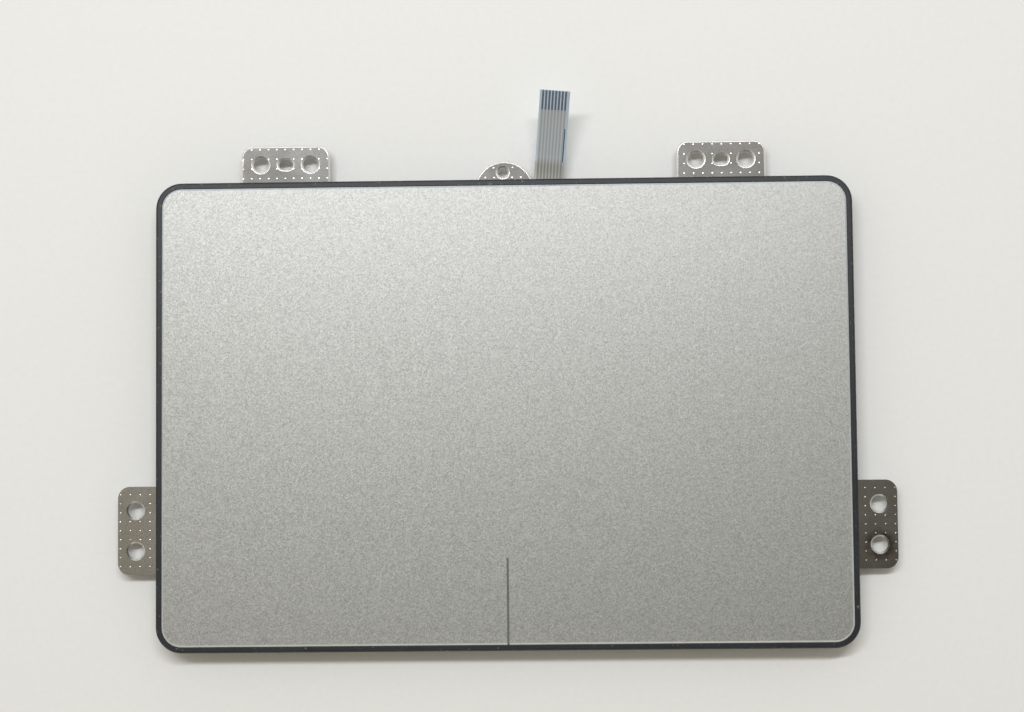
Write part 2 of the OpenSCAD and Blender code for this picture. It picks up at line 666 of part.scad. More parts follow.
// Snap dome on the floor of the well, its crown towards the plunger
dome_sphere_r = (dome_r * dome_r + dome_h * dome_h) / (2 * dome_h);
module switch_dome() color("silver") under_board(0, switch_y) translate([0, 0, switch_floor_t])
    rotate_extrude() intersection() {
        translate([0, dome_h - dome_sphere_r]) difference() {
            circle(dome_sphere_r, $fn = 180);
            circle(dome_sphere_r - dome_t, $fn = 180);
        }
        square([dome_r, dome_h]);
    }

// Plunger of the switch: its flange lies between the dome and the cover
flange_z = cover_z + cover_t + plunger_gap;
module switch_plunger() color("white") translate([0, switch_y, 0]) {
    translate([0, 0, flange_z]) cylinder(flange_t, r = plunger_r + flange_lip);
    translate([0, 0, plunger_tip]) cylinder(flange_z - plunger_tip + weld, r = plunger_r);
}

// Cover plate that keeps the plunger in
module switch_cover() color("gainsboro") translate([0, switch_y, cover_z]) linear_extrude(cover_t) difference() {
    rounded(switch_side, switch_side, switch_r);
    circle(cover_hole_r);
}

// Soldered terminals at the switch's four corners
module switch_terminals() color("gold") for (x = [-1, 1], y = [-1, 1])
    under_board(x * (switch_side + switch_terminal[0]) / 2, switch_y + y * switch_side / 3)
        translate([-switch_terminal[0] / 2, -switch_terminal[1] / 2, 0]) cube(switch_terminal);

// Side profile of a strip along the route, between two heights measured square to it
function route_way(p, i) = let (a = p[max(i - 1, 0)], b = p[min(i + 1, len(p) - 1)]) (b - a) / norm(b - a);
function route_at(p, i, h) = p[i] + h * [-route_way(p, i)[1], route_way(p, i)[0]];
module strip(from, low, high, w) {
    last = len(ROUTE) - 1;
    rotate([90, 0, 90]) linear_extrude(w, center = true) polygon(concat(
        [for (i = [from:last]) route_at(ROUTE, i, low)],
        [for (i = [last:-1:from]) route_at(ROUTE, i, high)]
    ));
}

// Places the cable: from the connector's slot, leaning to the right
module on_cable() translate([connector_x, ribbon_inner_y, 0]) rotate(-ribbon_lean) children();

// Flat ribbon from the connector's slot to its free end
module ffc_ribbon() color("#b0b3b8") on_cable() strip(0, -ribbon_t / 2, ribbon_t / 2, ribbon_w);

// Stiffener behind the free end
module ffc_stiffener() color("#b9cbd9") on_cable() translate([stiffener_shift, 0, 0])
    strip(STIFFENER_FROM, -ribbon_t / 2 - stiffener_t, -ribbon_t / 2, ribbon_w);

// Bare contacts on the face of the free end
module ffc_contacts() color("#8a9099") on_cable() for (i = [0:ways - 1])
    translate([(i - (ways - 1) / 2) * way_pitch, 0, 0]) strip(CONTACTS_FROM, ribbon_t / 2, ribbon_t / 2 + contact_t, contact_w);

// Every piece is drawn about the sheet's middle and moved into the module's frame
module placed() translate([0, frame_y, 0]) children();

placed() support_bracket();
placed() hinge_leaf(-1);  // hinge_leaf_left
placed() hinge_leaf(1);  // hinge_leaf_right
for (i = [1:4]) placed() leaf_rivet(i);
placed() strike_screw();
placed() click_damper(-1);  // click_damper_left
placed() click_damper(1);  // click_damper_right
placed() rim_frame();
placed() sensor_board();
placed() sheet_adhesive();
placed() touch_sheet();
placed() hinge_tape(-1);  // hinge_tape_left
placed() hinge_tape(1);  // hinge_tape_right
placed() touch_controller();
placed() controller_terminals();
placed() voltage_regulator();
placed() regulator_leads();
placed() chip_capacitors();
placed() chip_resistors();
placed() connector_housing();
placed() connector_contacts();
placed() connector_hold_downs();
placed() connector_latch();
placed() switch_base();
placed() switch_dome();
placed() switch_plunger();
placed() switch_cover();
placed() switch_terminals();
placed() ffc_ribbon();
placed() ffc_stiffener();
placed() ffc_contacts();
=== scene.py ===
import math

import bmesh
import bpy
import numpy as np
from mathutils import Matrix, Vector


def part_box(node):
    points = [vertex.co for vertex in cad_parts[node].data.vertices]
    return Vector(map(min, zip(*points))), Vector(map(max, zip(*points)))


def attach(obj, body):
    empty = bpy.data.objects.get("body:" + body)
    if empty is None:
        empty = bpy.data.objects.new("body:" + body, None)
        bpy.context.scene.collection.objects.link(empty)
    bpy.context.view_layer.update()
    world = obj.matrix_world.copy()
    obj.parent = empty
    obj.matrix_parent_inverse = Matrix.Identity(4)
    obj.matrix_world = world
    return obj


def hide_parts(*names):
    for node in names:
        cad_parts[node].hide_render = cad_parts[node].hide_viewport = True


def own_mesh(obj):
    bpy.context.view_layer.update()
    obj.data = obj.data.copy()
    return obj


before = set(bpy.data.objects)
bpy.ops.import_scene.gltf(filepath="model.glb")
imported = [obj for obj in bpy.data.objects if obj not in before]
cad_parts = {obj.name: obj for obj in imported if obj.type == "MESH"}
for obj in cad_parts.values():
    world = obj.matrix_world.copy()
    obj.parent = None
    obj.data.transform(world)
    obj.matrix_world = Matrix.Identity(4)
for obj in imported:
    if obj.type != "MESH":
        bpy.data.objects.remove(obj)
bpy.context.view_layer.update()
scene = bpy.context.scene

# Camera: held almost straight above the pad, a little towards the front edge, turned by half a degree.
# Its place, aim and turn were fitted to the rim's corners and the tabs' screw holes.
MM = 0.001
camera_place = Vector((6.31, -9.71, 278.76)) * MM
camera_aim = Vector((1.17, 5.74, 4.5)) * MM
picture_right = Vector((0.99976, -0.01008, -0.01929))


def placed(name, data):
    """Puts an object with this data in the scene."""
    thing = bpy.data.objects.new(name, data)
    scene.collection.objects.link(thing)
    return thing


camera_data = bpy.data.cameras.new("camera")
camera_data.sensor_width = 36
camera_data.lens = 63.28
camera_data.clip_start = 0.005
camera_data.clip_end = 10
camera = placed("camera", camera_data)
view_back = (camera_place - camera_aim).normalized()
view_right = (picture_right - view_back * picture_right.dot(view_back)).normalized()
view_turn = Matrix((view_right, view_back.cross(view_right), view_back)).transposed()
camera.matrix_world = Matrix.Translation(camera_place) @ view_turn.to_4x4()
scene.camera = camera

# Ribbon cable: eight flat tinned conductors laminated between two polyester films, 4.5 mm wide and 0.15 mm
# thick. It is pushed into the board's connector, passes out between bracket and rim, and rises to its
# stiffened end, where the upper film is left off so that the conductors are bare.
RIBBON_W = 4.5
RIBBON_T = 0.15
WAYS = 8
WAY_PITCH = 0.5
WAY_W = 0.3
WAY_FOOT = WAY_W * 0.57
WAY_CROWN = WAY_W * 0.4
FILM_HALF = 0.06
FILM_EDGE_HALF = FILM_HALF * 0.7
FILM_EDGE_W = 0.05
LEAN = math.radians(5)
ROUTE_START = Vector((4.75, 6.95, 0))
# The run along the cable and the height of its middle, in mm
ROUTE = [
    (0, 2.7), (2, 2.7), (4, 2.6625), (7, 2.58), (10, 2.55), (14, 2.55), (18, 2.55), (22, 2.55), (25, 2.55),
    (27, 2.6), (28, 2.7), (29, 2.85), (30, 3.05), (31, 3.35), (32, 3.7), (33, 4.1), (34, 4.55), (35, 5.05),
    (36.3, 5.8), (37, 6.25), (38, 6.9), (39.1, 7.65),
]
ROUTE_STEPS = 6
STIFFENER_FROM = 11
CONTACTS_FROM = 18
CONTACTS_SKIP = 2
# Faces so square to an axis, and so wide in square mm, are shaded flat
SQUARE_ON = 0.9999
WIDE_FACE = 0.3
along_ribbon = Vector((math.sin(LEAN), math.cos(LEAN), 0))
across_ribbon = Vector((math.cos(LEAN), -math.sin(LEAN), 0))


def linear(colour):
    """An sRGB hex colour as linear red, green, blue and alpha."""
    parts = [int(colour[i:i + 2], 16) / 255 for i in (1, 3, 5)]
    return [p / 12.92 if p <= 0.04045 else ((p + 0.055) / 1.055) ** 2.4 for p in parts] + [1.0]


def add_node(tree, kind, inputs=(), **settings):
    """Adds a node with its settings. An input is a value, or one or more sockets to link, in which a node
    stands for its first output."""
    node = tree.nodes.new(kind)
    for key, value in settings.items():
        setattr(node, key, value)
    for key, value in dict(inputs).items():
        sources = [s.outputs[0] if isinstance(s, bpy.types.Node) else s
                   for s in (value if isinstance(value, list) else [value])]
        if isinstance(sources[0], bpy.types.NodeSocket):
            for source in sources:
                tree.links.new(source, node.inputs[key])
        else:
            node.inputs[key].default_value = value
    return node


def new_material(name, **sockets):
    """A material with its shader's constant sockets set. Socket names have _ for spaces."""
    material = bpy.data.materials.new(name)
    material.use_nodes = True
    tree = material.node_tree
    shader = tree.nodes["Principled BSDF"]
    for key, value in sockets.items():
        shader.inputs[key.replace("_", " ")].default_value = value
    return material, tree, shader


def add_piece(name, mesh, materials, body, slot, *nodes):
    """Puts a mesh in the scene as a piece that rides on a body and stands for CAD nodes."""
    for material in materials or ():
        mesh.materials.append(material)
    piece = placed(name, mesh)
    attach(piece, body)
    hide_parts(*nodes)
    return piece


def shade(mesh, angle=25):
    """Smooth shading across edges that turn by less than the angle, in degrees. Wide level and upright faces
    stay flat."""
    solid = bmesh.new()
    solid.from_mesh(mesh)
    for face in solid.faces:
        face.smooth = max(map(abs, face.normal)) < SQUARE_ON or face.calc_area() < WIDE_FACE * MM**2
    for edge in solid.edges:
        edge.smooth = edge.calc_face_angle(0) < math.radians(angle)
    solid.to_mesh(mesh)
    solid.free()
    return mesh


def smooth_route(first):
    """Points in metres on a smooth curve through the route, from one of its points to its end."""
    nodes = [ROUTE_START + along_ribbon * run + Vector((0, 0, z)) for run, z in ROUTE]
    points = []
    for i in range(first, len(nodes) - 1):
        before, a = nodes[max(i - 1, 0)], nodes[i]
        b, after = nodes[i + 1], nodes[min(i + 2, len(nodes) - 1)]
        gap = (b - a).length
        way_a = (b - before).normalized() * gap
        way_b = (after - a).normalized() * gap
        for k in range(ROUTE_STEPS):
            t = k / ROUTE_STEPS
            points.append(a * (2 * t**3 - 3 * t**2 + 1) + b * (3 * t**2 - 2 * t**3)
                          + way_a * (t**3 - 2 * t**2 + t) + way_b * (t**3 - t**2))
    return [p * MM for p in points + [nodes[-1]]]


def lofted(name, rings, angle):
    """A closed skin through rings of points, in metres. A ring of one point is a tip, and any other end is
    capped."""
    mesh = bpy.data.meshes.new(name)
    solid = bmesh.new()
    rings = [[solid.verts.new(point) for point in ring] for ring in rings]
    for low, high in zip(rings, rings[1:]):
        for k in range(max(len(low), len(high))):
            corners = [low[k % len(low)], low[(k + 1) % len(low)],
                       high[(k + 1) % len(high)], high[k % len(high)]]
            solid.faces.new(list(dict.fromkeys(corners)))
    for ring in (rings[0], rings[-1]):
        if len(ring) > 1:
            solid.faces.new(ring)
    bmesh.ops.recalc_face_normals(solid, faces=solid.faces)
    solid.to_mesh(mesh)
    solid.free()
    return shade(mesh, angle)


def swept(name, profile, path):
    """A closed profile of offsets across and up, in mm, carried along the ribbon's path. Its UV map says how
    far across and along the ribbon a point lies."""
    runs = np.cumsum([0] + [(b - a).length for a, b in zip(path, path[1:])])
    rings = []
    for i, point in enumerate(path):
        way = (path[min(i + 1, len(path) - 1)] - path[max(i - 1, 0)]).normalized()
        up = across_ribbon.cross(way)
        rings.append([point + (across_ribbon * a + up * h) * MM for a, h in profile])
    mesh = lofted(name, rings, 40)
    lay = mesh.uv_layers.new(name="lay")
    for loop in mesh.loops:
        ring, k = divmod(loop.vertex_index, len(profile))
        lay.data[loop.index].uv = (profile[k][0] / RIBBON_W + 0.5, runs[ring] / runs[-1])
    return mesh


ribbon_route = smooth_route(0)
spans = [(b - a).length for a, b in zip(ribbon_route, ribbon_route[1:])]
ribbon_length = sum(spans)
stiff_at = sum(spans[:ROUTE_STEPS * STIFFENER_FROM]) / ribbon_length
bare_at = sum(spans[:ROUTE_STEPS * CONTACTS_FROM + CONTACTS_SKIP]) / ribbon_length

# Polyester laminate: a satin clear film that shows the flat conductors as soft darker stripes, cool where the
# pale stiffener lies behind them and warmer below it. A dark blue line of painted shade runs along one edge
# where the stiffener begins, standing for the gap between film and stiffener.
FILM_TONES = ("#a6a8a3", "#b3babf", "#bccbdd")
WIRE_TONES = ("#82837d", "#9ca2a7", "#66727f")
STIFF_FADE = 0.015
BARE_FADE = 0.002
EDGE_SHADE_SHARE = 0.13
laminate, tree, shader = new_material(
    "polyester_laminate", Roughness=0.32, Coat_Weight=0.25, Coat_Roughness=0.2)
lay_map = add_node(tree, "ShaderNodeUVMap", uv_map="lay")
across, along = add_node(tree, "ShaderNodeSeparateXYZ", {0: lay_map}).outputs[:2]
pitches = add_node(tree, "ShaderNodeMath", {
    0: across, 1: RIBBON_W / WAY_PITCH, 2: -0.5}, operation="MULTIPLY_ADD")
in_pitch = add_node(tree, "ShaderNodeMath", {0: pitches}, operation="FRACT")
off_way = add_node(tree, "ShaderNodeMath", {0: in_pitch, 1: 0.5}, operation="SUBTRACT")
from_way = add_node(tree, "ShaderNodeMath", {0: off_way}, operation="ABSOLUTE")
stripe = add_node(tree, "ShaderNodeMapRange", {
    "Value": from_way, "From Min": 0.2, "From Max": 0.38, "To Min": 1.0, "To Max": 0.0})
in_ways = add_node(tree, "ShaderNodeMath", {
    0: across, 1: 0.5, 2: WAYS * WAY_PITCH / 2 / RIBBON_W}, operation="COMPARE")
wire = add_node(tree, "ShaderNodeMath", {0: stripe, 1: in_ways}, operation="MULTIPLY")
film_ramp = add_node(tree, "ShaderNodeValToRGB", {0: along})
wire_ramp = add_node(tree, "ShaderNodeValToRGB", {0: along})
for ramp, tones in ((film_ramp, FILM_TONES), (wire_ramp, WIRE_TONES)):
    stops = ramp.color_ramp.elements
    stops[0].position, stops[0].color = stiff_at - STIFF_FADE, linear(tones[0])
    stops[1].position, stops[1].color = stiff_at + STIFF_FADE, linear(tones[1])
    for spot, tone in ((bare_at - BARE_FADE, tones[1]), (bare_at + BARE_FADE, tones[2])):
        stop = stops.new(spot)
        stop.color = linear(tone)
film = add_node(tree, "ShaderNodeMix", {0: wire, 6: film_ramp, 7: wire_ramp}, data_type="RGBA")
# Painted shade: a dark blue line along one edge of the film where the stiffener begins
at_edge = add_node(tree, "ShaderNodeMath", {0: across, 1: 0.935, 2: 0.019}, operation="COMPARE")
at_start = add_node(tree, "ShaderNodeMath", {
    0: along, 1: stiff_at + EDGE_SHADE_SHARE / 2, 2: EDGE_SHADE_SHARE / 2}, operation="COMPARE")
edge_shade = add_node(tree, "ShaderNodeMath", {0: at_edge, 1: at_start}, operation="MULTIPLY")
on_stiffener = add_node(tree, "ShaderNodeMath", {0: along, 1: stiff_at}, operation="GREATER_THAN")
clear_margin = add_node(tree, "ShaderNodeMath", {
    0: on_stiffener, 1: in_ways}, operation="SUBTRACT", use_clamp=True)
edged_film = add_node(tree, "ShaderNodeMix", {
    0: clear_margin, 6: film.outputs[2], 7: linear("#b6c7d6")}, data_type="RGBA")
edge_shaded_film = add_node(tree, "ShaderNodeMix", {
    0: edge_shade, 6: edged_film.outputs[2], 7: linear("#3b5268")}, data_type="RGBA")
tree.links.new(edge_shaded_film.outputs[2], shader.inputs["Base Color"])

# The film's profile: flat margins, and a low rise over each conductor
film_edge = [(-RIBBON_W / 2, FILM_EDGE_HALF), (FILM_EDGE_W - RIBBON_W / 2, FILM_HALF)]
upper = list(film_edge)
for i in range(WAYS):
    middle = (i - (WAYS - 1) / 2) * WAY_PITCH
    upper += [(middle - WAY_FOOT, FILM_HALF), (middle - WAY_CROWN, RIBBON_T / 2),
              (middle + WAY_CROWN, RIBBON_T / 2), (middle + WAY_FOOT, FILM_HALF)]
upper += [(-a, h) for a, h in reversed(film_edge)]
lower = [(a, -h) for a, h in reversed(upper)]
ribbon_mesh = swept("ribbon_cable", upper + lower, ribbon_route)
ribbon = add_piece("ribbon_cable", ribbon_mesh, [laminate], "pad", "ribbon", "ffc_ribbon")

# Stiffener: a pale blue polyester strip glued behind the cable's end, a little off its middle, so that one
# edge shows. The film is glossy and slightly cloudy.
STIFFENER_T = 0.15
STIFFENER_SHIFT = 0.1
STIFFENER_EDGE = 0.03
blue_film, tree, shader = new_material(
    "pale_blue_polyester_film", Roughness=0.3, Coat_Weight=0.3, Coat_Roughness=0.15)
place = add_node(tree, "ShaderNodeTexCoord").outputs["Object"]
clouds = add_node(tree, "ShaderNodeTexNoise", {"Vector": place, "Scale": 1 / (1.5 * MM), "Detail": 3.0})
blue = add_node(tree, "ShaderNodeMix", {
    0: clouds, 6: linear("#bccddb"), 7: linear("#cbd9e5")}, data_type="RGBA")
tree.links.new(blue.outputs[2], shader.inputs["Base Color"])
half = RIBBON_W / 2
low = -RIBBON_T / 2 - STIFFENER_T
high = -RIBBON_T / 2
stiff_profile = [(STIFFENER_SHIFT + a, h) for a, h in (
    (-half, low + STIFFENER_EDGE), (-half, high), (half, high), (half, low + STIFFENER_EDGE),
    (half - STIFFENER_EDGE, low), (STIFFENER_EDGE - half, low))]
stiff_mesh = swept("ribbon_stiffener", stiff_profile, smooth_route(STIFFENER_FROM))
stiffener = add_piece("ribbon_stiffener", stiff_mesh, [blue_film], "pad", "stiffener_blue", "ffc_stiffener")

# Bare contacts: the eight tinned conductors where the upper film is left off. The tin is worn to a dull
# blue-grey in small patches.
CONTACT_T = 0.04
CONTACT_EDGE = 0.03
CONTACT_SINK = 0.02


def geometry_tree(name, *sizes):
    """A Geometry Nodes tree with named inputs, each a name and a kind of socket. Returns the tree and its
    inputs."""
    tree = bpy.data.node_groups.new(name, "GeometryNodeTree")
    tree.interface.new_socket("Geometry", in_out="INPUT", socket_type="NodeSocketGeometry")
    for label, kind in sizes:
        tree.interface.new_socket(label, in_out="INPUT", socket_type="NodeSocket" + kind)
    tree.interface.new_socket("Geometry", in_out="OUTPUT", socket_type="NodeSocketGeometry")
    return tree, add_node(tree, "NodeGroupInput").outputs


def grown(name, mesh, steps):
    """Runs Geometry Nodes trees over a mesh, one after another, and gives the result as a plain mesh."""
    maker = placed(name, mesh)
    for tree, sizes in steps:
        modifier = maker.modifiers.new(tree.name, "NODES")
        modifier.node_group = tree
        for item in tree.interface.items_tree:
            if item.in_out == "INPUT" and item.name in sizes:
                modifier[item.identifier] = sizes[item.name]
    result = bpy.data.meshes.new_from_object(maker.evaluated_get(bpy.context.evaluated_depsgraph_get()))
    result.name = name
    bpy.data.objects.remove(maker)
    return result


# A row of like parts: copies of one part at even steps, added to what is there already
row_tree, given = geometry_tree("row_of_parts", ("Part", "Object"), ("Count", "Int"), ("Start", "Vector"),
                                ("Step", "Vector"), ("Turn", "Float"), ("Material", "Material"))
spots = add_node(row_tree, "GeometryNodeMeshLine", {
    "Count": given["Count"], "Start Location": given["Start"], "Offset": given["Step"]}, mode="OFFSET")
part = add_node(row_tree, "GeometryNodeObjectInfo", {"Object": given["Part"]})
turn = add_node(row_tree, "ShaderNodeCombineXYZ", {"Z": given["Turn"]})
row = add_node(row_tree, "GeometryNodeInstanceOnPoints", {
    "Points": spots, "Instance": part.outputs["Geometry"], "Rotation": turn})
solid_row = add_node(row_tree, "GeometryNodeRealizeInstances", {0: row})
coated_row = add_node(row_tree, "GeometryNodeSetMaterial", {0: solid_row, "Material": given["Material"]})
all_rows = add_node(row_tree, "GeometryNodeJoinGeometry", {0: [coated_row, given["Geometry"]]})
add_node(row_tree, "NodeGroupOutput", {0: all_rows})


def rows_of(name, rows, base=None):
    """Rows of parts on a base mesh. Each row is a part's mesh, a material, count, start, step and turn, in
    metres."""
    helpers = []
    steps = []
    for mesh, material, count, start, step, turned in rows:
        helper = placed("row_part", mesh)
        helpers.append(helper)
        steps.append((row_tree, {"Part": helper, "Count": count, "Start": start, "Step": step,
                                 "Turn": turned, "Material": material}))
    result = grown(name, base or bpy.data.meshes.new(name), steps)
    for helper in helpers:
        bpy.data.objects.remove(helper)
    return result


tin_contact, tree, shader = new_material("tinned_copper_contact", Metallic=1.0)
place = add_node(tree, "ShaderNodeTexCoord").outputs["Object"]
dulling = add_node(tree, "ShaderNodeTexNoise", {"Vector": place, "Scale": 1 / (0.25 * MM), "Detail": 4.0})
tin_tone = add_node(tree, "ShaderNodeMix", {
    0: dulling, 6: linear("#70829b"), 7: linear("#8a9cb3")}, data_type="RGBA")
tin_rough = add_node(tree, "ShaderNodeMapRange", {"Value": dulling, "To Min": 0.25, "To Max": 0.5})
tree.links.new(tin_tone.outputs[2], shader.inputs["Base Color"])
tree.links.new(tin_rough.outputs[0], shader.inputs["Roughness"])
rise = RIBBON_T / 2
contact_profile = [
    (-WAY_W / 2, rise - CONTACT_SINK), (CONTACT_EDGE - WAY_W / 2, rise + CONTACT_T),
    (WAY_W / 2 - CONTACT_EDGE, rise + CONTACT_T), (WAY_W / 2, rise - CONTACT_SINK)]
contact = swept("contact", contact_profile, smooth_route(CONTACTS_FROM)[CONTACTS_SKIP:])
step = across_ribbon * WAY_PITCH * MM
contacts_mesh = rows_of("ribbon_contacts", [(contact, tin_contact, WAYS, step * (1 - WAYS) / 2, step, 0.0)])
contacts = add_piece("ribbon_contacts", contacts_mesh, None, "pad", "tin", "ffc_contacts")

# Studio: a plain off-white table top, one long soft lamp beyond the cable side, and a room at a level where
# colours render as written. Its pale walls glow low down in front and behind, and its ceiling is brighter
# towards the cable side and the left.
TABLE_HALF = 3.0
TABLE_DROP = 0.02
LAMP_PLACE = Vector((-0.045, 0.275, 0.65))
LAMP_SIZE = (0.6, 0.046)
LAMP_POWER = 3.08
LAMP_TINT = "#fbfcff"
table_mesh = bpy.data.meshes.new("table_top")
corners = [(x * TABLE_HALF, y * TABLE_HALF, -TABLE_DROP * MM)
           for x, y in ((-1, -1), (1, -1), (1, 1), (-1, 1))]
table_mesh.from_pydata(corners, [], [(0, 1, 2, 3)])
table = placed("table_top", table_mesh)
# Table laminate: matt and almost white, with a fine faint mottle
table_paint, tree, shader = new_material("off_white_table_laminate", Roughness=0.55)
place = add_node(tree, "ShaderNodeTexCoord").outputs["Object"]
mottle = add_node(tree, "ShaderNodeTexNoise", {"Vector": place, "Scale": 1 / (0.9 * MM), "Detail": 4.0})
pale = add_node(tree, "ShaderNodeMix", {
    0: mottle, 6: linear("#e7e8e6"), 7: linear("#edeeec")}, data_type="RGBA")
tree.links.new(pale.outputs[2], shader.inputs["Base Color"])
table_mesh.materials.append(table_paint)
lamp_data = bpy.data.lights.new("window_lamp", "AREA")
lamp_data.shape = "RECTANGLE"
lamp_data.size, lamp_data.size_y = LAMP_SIZE
lamp_data.energy = LAMP_POWER
lamp_data.color = linear(LAMP_TINT)[:3]
lamp = placed("window_lamp", lamp_data)
lamp.location = LAMP_PLACE
lamp.rotation_euler = LAMP_PLACE.to_track_quat("Z", "Y").to_euler()
room = bpy.data.worlds.new("room")
scene.world = room
room.use_nodes = True
tree = room.node_tree
wall = tree.nodes["Background"]
look = add_node(tree, "ShaderNodeTexCoord").outputs["Generated"]
to_window = add_node(tree, "ShaderNodeVectorMath", {0: look, 1: (-0.5, 1.0, 0.0)}, operation="DOT_PRODUCT")
ceiling = add_node(tree, "ShaderNodeMapRange", {
    "Value": to_window.outputs["Value"], "From Min": -0.3, "From Max": 0.2, "To Min": 0.04, "To Max": 0.52},
    interpolation_type="SMOOTHSTEP")
split_look = add_node(tree, "ShaderNodeSeparateXYZ", {0: look}).outputs
front_or_rear = add_node(tree, "ShaderNodeMath", {0: split_look[1]}, operation="ABSOLUTE")
low_glow = add_node(tree, "ShaderNodeMapRange", {
    "Value": split_look[2], "From Min": 0.0, "From Max": 0.4, "To Min": 0.5, "To Max": 0.0})
walls = add_node(tree, "ShaderNodeMath", {0: front_or_rear, 1: low_glow, 2: 0.6}, operation="MULTIPLY_ADD")
overhead = add_node(tree, "ShaderNodeMapRange", {"Value": split_look[2], "From Min": 0.4, "From Max": 0.9})
brightness = add_node(tree, "ShaderNodeMix", {0: overhead, 2: walls, 3: ceiling}, data_type="FLOAT")
tree.links.new(brightness.outputs[0], wall.inputs["Strength"])
coolness = add_node(tree, "ShaderNodeMapRange", {"Value": split_look[1], "From Min": -0.05, "From Max": 0.2})
daylight = add_node(tree, "ShaderNodeMix", {
    0: coolness, 6: linear("#fff4de"), 7: linear("#fffdf6")}, data_type="RGBA")
tree.links.new(daylight.outputs[2], wall.inputs["Color"])
scene.view_settings.view_transform = "Standard"

# Support bracket: one piece of 0.5 mm stainless strip, stamped and folded, with drawn screw holes and slots.
# The tool rolls the tabs' upper edges over and prints rows of small dimples on the tabs and the ear.
DIMPLE_R = 0.12
DIMPLE_BALL_R = 0.48
# Columns, rows, width, depth and the middle's x and y of each field of dimples, sizes in mm
DIMPLE_FIELDS = [
    (11, 4, 13.06, 4.5, -33.75, 36.14),
    (9, 4, 11.57, 4.5, 33.785, 36.14),
    (4, 9, 4.55, 11.0, -57.03, -20.29),
    (4, 9, 4.55, 11.0, 57.05, -20.31),
    (2, 1, 2.96, 0.0, 0.02, 35.13),
    (5, 1, 5.5, 0.0, 0.02, 33.6),
]
LENS_SHARES = (0, 0.33, 0.67, 1, 1.15)
LENS_TOP = 0.05
ROLLED_EDGE = 0.1
TAB_ROOT = 3
LEVEL_FACE = 0.9995
# Share of the matt finish and painted highlight on faces that are not on the rear tabs
SIDE_WORKED_AND_GLINT = 0.6
# Corners so close in metres are welded, and faces that turn by so few degrees become one
WELD_GAP = 1e-7
FLAT_TURN = 0.2


def turned_part(name, profile, around=32):
    """A part turned about an upright axis through the origin, from radii and heights in mm."""
    turns = np.linspace(0, 2 * math.pi, around, endpoint=False)
    rings = [[(radius * math.cos(a) * MM, radius * math.sin(a) * MM, height * MM)
              for a in (turns if radius else turns[:1])] for radius, height in profile]
    return lofted(name, rings, 35)


def finished_copy(node, edge=0.0, steps=2, least=30, most=180, beyond=(-1.0, -1.0, -1.0)):
    """A welded copy of a CAD node's mesh. Edges that turn by least to most degrees are rounded by edge, in
    mm, where they lie wholly beyond a corner point, in metres."""
    mesh = bpy.data.meshes.new(node)
    solid = bmesh.new()
    solid.from_mesh(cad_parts[node].data)
    bmesh.ops.remove_doubles(solid, verts=solid.verts, dist=WELD_GAP)
    bmesh.ops.dissolve_limit(solid, angle_limit=math.radians(FLAT_TURN), verts=solid.verts, edges=solid.edges)
    if edge:
        turned = [e for e in solid.edges if math.radians(least) < e.calc_face_angle(0) < math.radians(most)
                  and all(c > least_c for v in e.verts for c, least_c in zip(v.co, beyond))]
        bmesh.ops.bevel(solid, geom=turned, offset=edge * MM, offset_type="OFFSET", segments=steps,
                        profile=0.5, affect="EDGES", clamp_overlap=True)
    solid.to_mesh(mesh)
    solid.free()
    return shade(mesh)


# A field of dimples: a grid of small lenses cut out of the plate's upper face
dimple_tree, given = geometry_tree("dimple_field", ("Columns", "Int"), ("Rows", "Int"), ("Width", "Float"),
                                   ("Depth", "Float"), ("Middle", "Vector"), ("Lens", "Object"),
                                   ("Material", "Material"))
grid = add_node(dimple_tree, "GeometryNodeMeshGrid", {
    "Size X": given["Width"], "Size Y": given["Depth"],
    "Vertices X": given["Columns"], "Vertices Y": given["Rows"]})
field = add_node(dimple_tree, "GeometryNodeTransform", {0: grid, "Translation": given["Middle"]})
lens = add_node(dimple_tree, "GeometryNodeObjectInfo", {"Object": given["Lens"]})
lenses = add_node(dimple_tree, "GeometryNodeInstanceOnPoints", {
    "Points": field, "Instance": lens.outputs["Geometry"]})
cutters = add_node(dimple_tree, "GeometryNodeRealizeInstances", {0: lenses})
dimpled = add_node(dimple_tree, "GeometryNodeMeshBoolean", {0: given["Geometry"], 1: cutters},
                   operation="DIFFERENCE", solver="EXACT")
steel_plate = add_node(dimple_tree, "GeometryNodeSetMaterial", {0: dimpled, "Material": given["Material"]})
add_node(dimple_tree, "NodeGroupOutput", {0: steel_plate})

# Cold-rolled stainless steel: grey and satin, with the rolling grain along the strip and faint handling
# smudges. On rolled edges and in dimples the metal is more matt, and a paler tone is painted there as a
# highlight, full on the rear tabs and weaker on the side tabs. Old grease darkens it round the front hole of
# the right tab.
GREASE_AT = Vector((56.95, -23.5, 2.3)) * MM
stainless, tree, shader = new_material("cold_rolled_stainless", Metallic=1.0)
place = add_node(tree, "ShaderNodeTexCoord").outputs["Object"]
along_strip = add_node(tree, "ShaderNodeMapping", {"Vector": place, "Scale": (0.5, 1.0, 1.0)})
grain = add_node(tree, "ShaderNodeTexNoise", {"Vector": along_strip, "Scale": 1 / (0.12 * MM), "Detail": 3.0})
smudge = add_node(tree, "ShaderNodeTexNoise", {
    "Vector": place, "Scale": 1 / (5 * MM), "Detail": 4.0, "Roughness": 0.6})
worn = add_node(tree, "ShaderNodeMapRange", {"Value": smudge, "From Min": 0.35, "From Max": 0.65})
steel_tone = add_node(tree, "ShaderNodeMix", {
    0: worn, 6: linear("#b8b7b6"), 7: linear("#c5c6c7")}, data_type="RGBA")
scratch = add_node(tree, "ShaderNodeMapRange", {"Value": grain, "From Min": 0.52, "From Max": 0.68})
grained = add_node(tree, "ShaderNodeMix", {
    0: scratch, 6: steel_tone.outputs[2], 7: linear("#9a9997")}, data_type="RGBA")
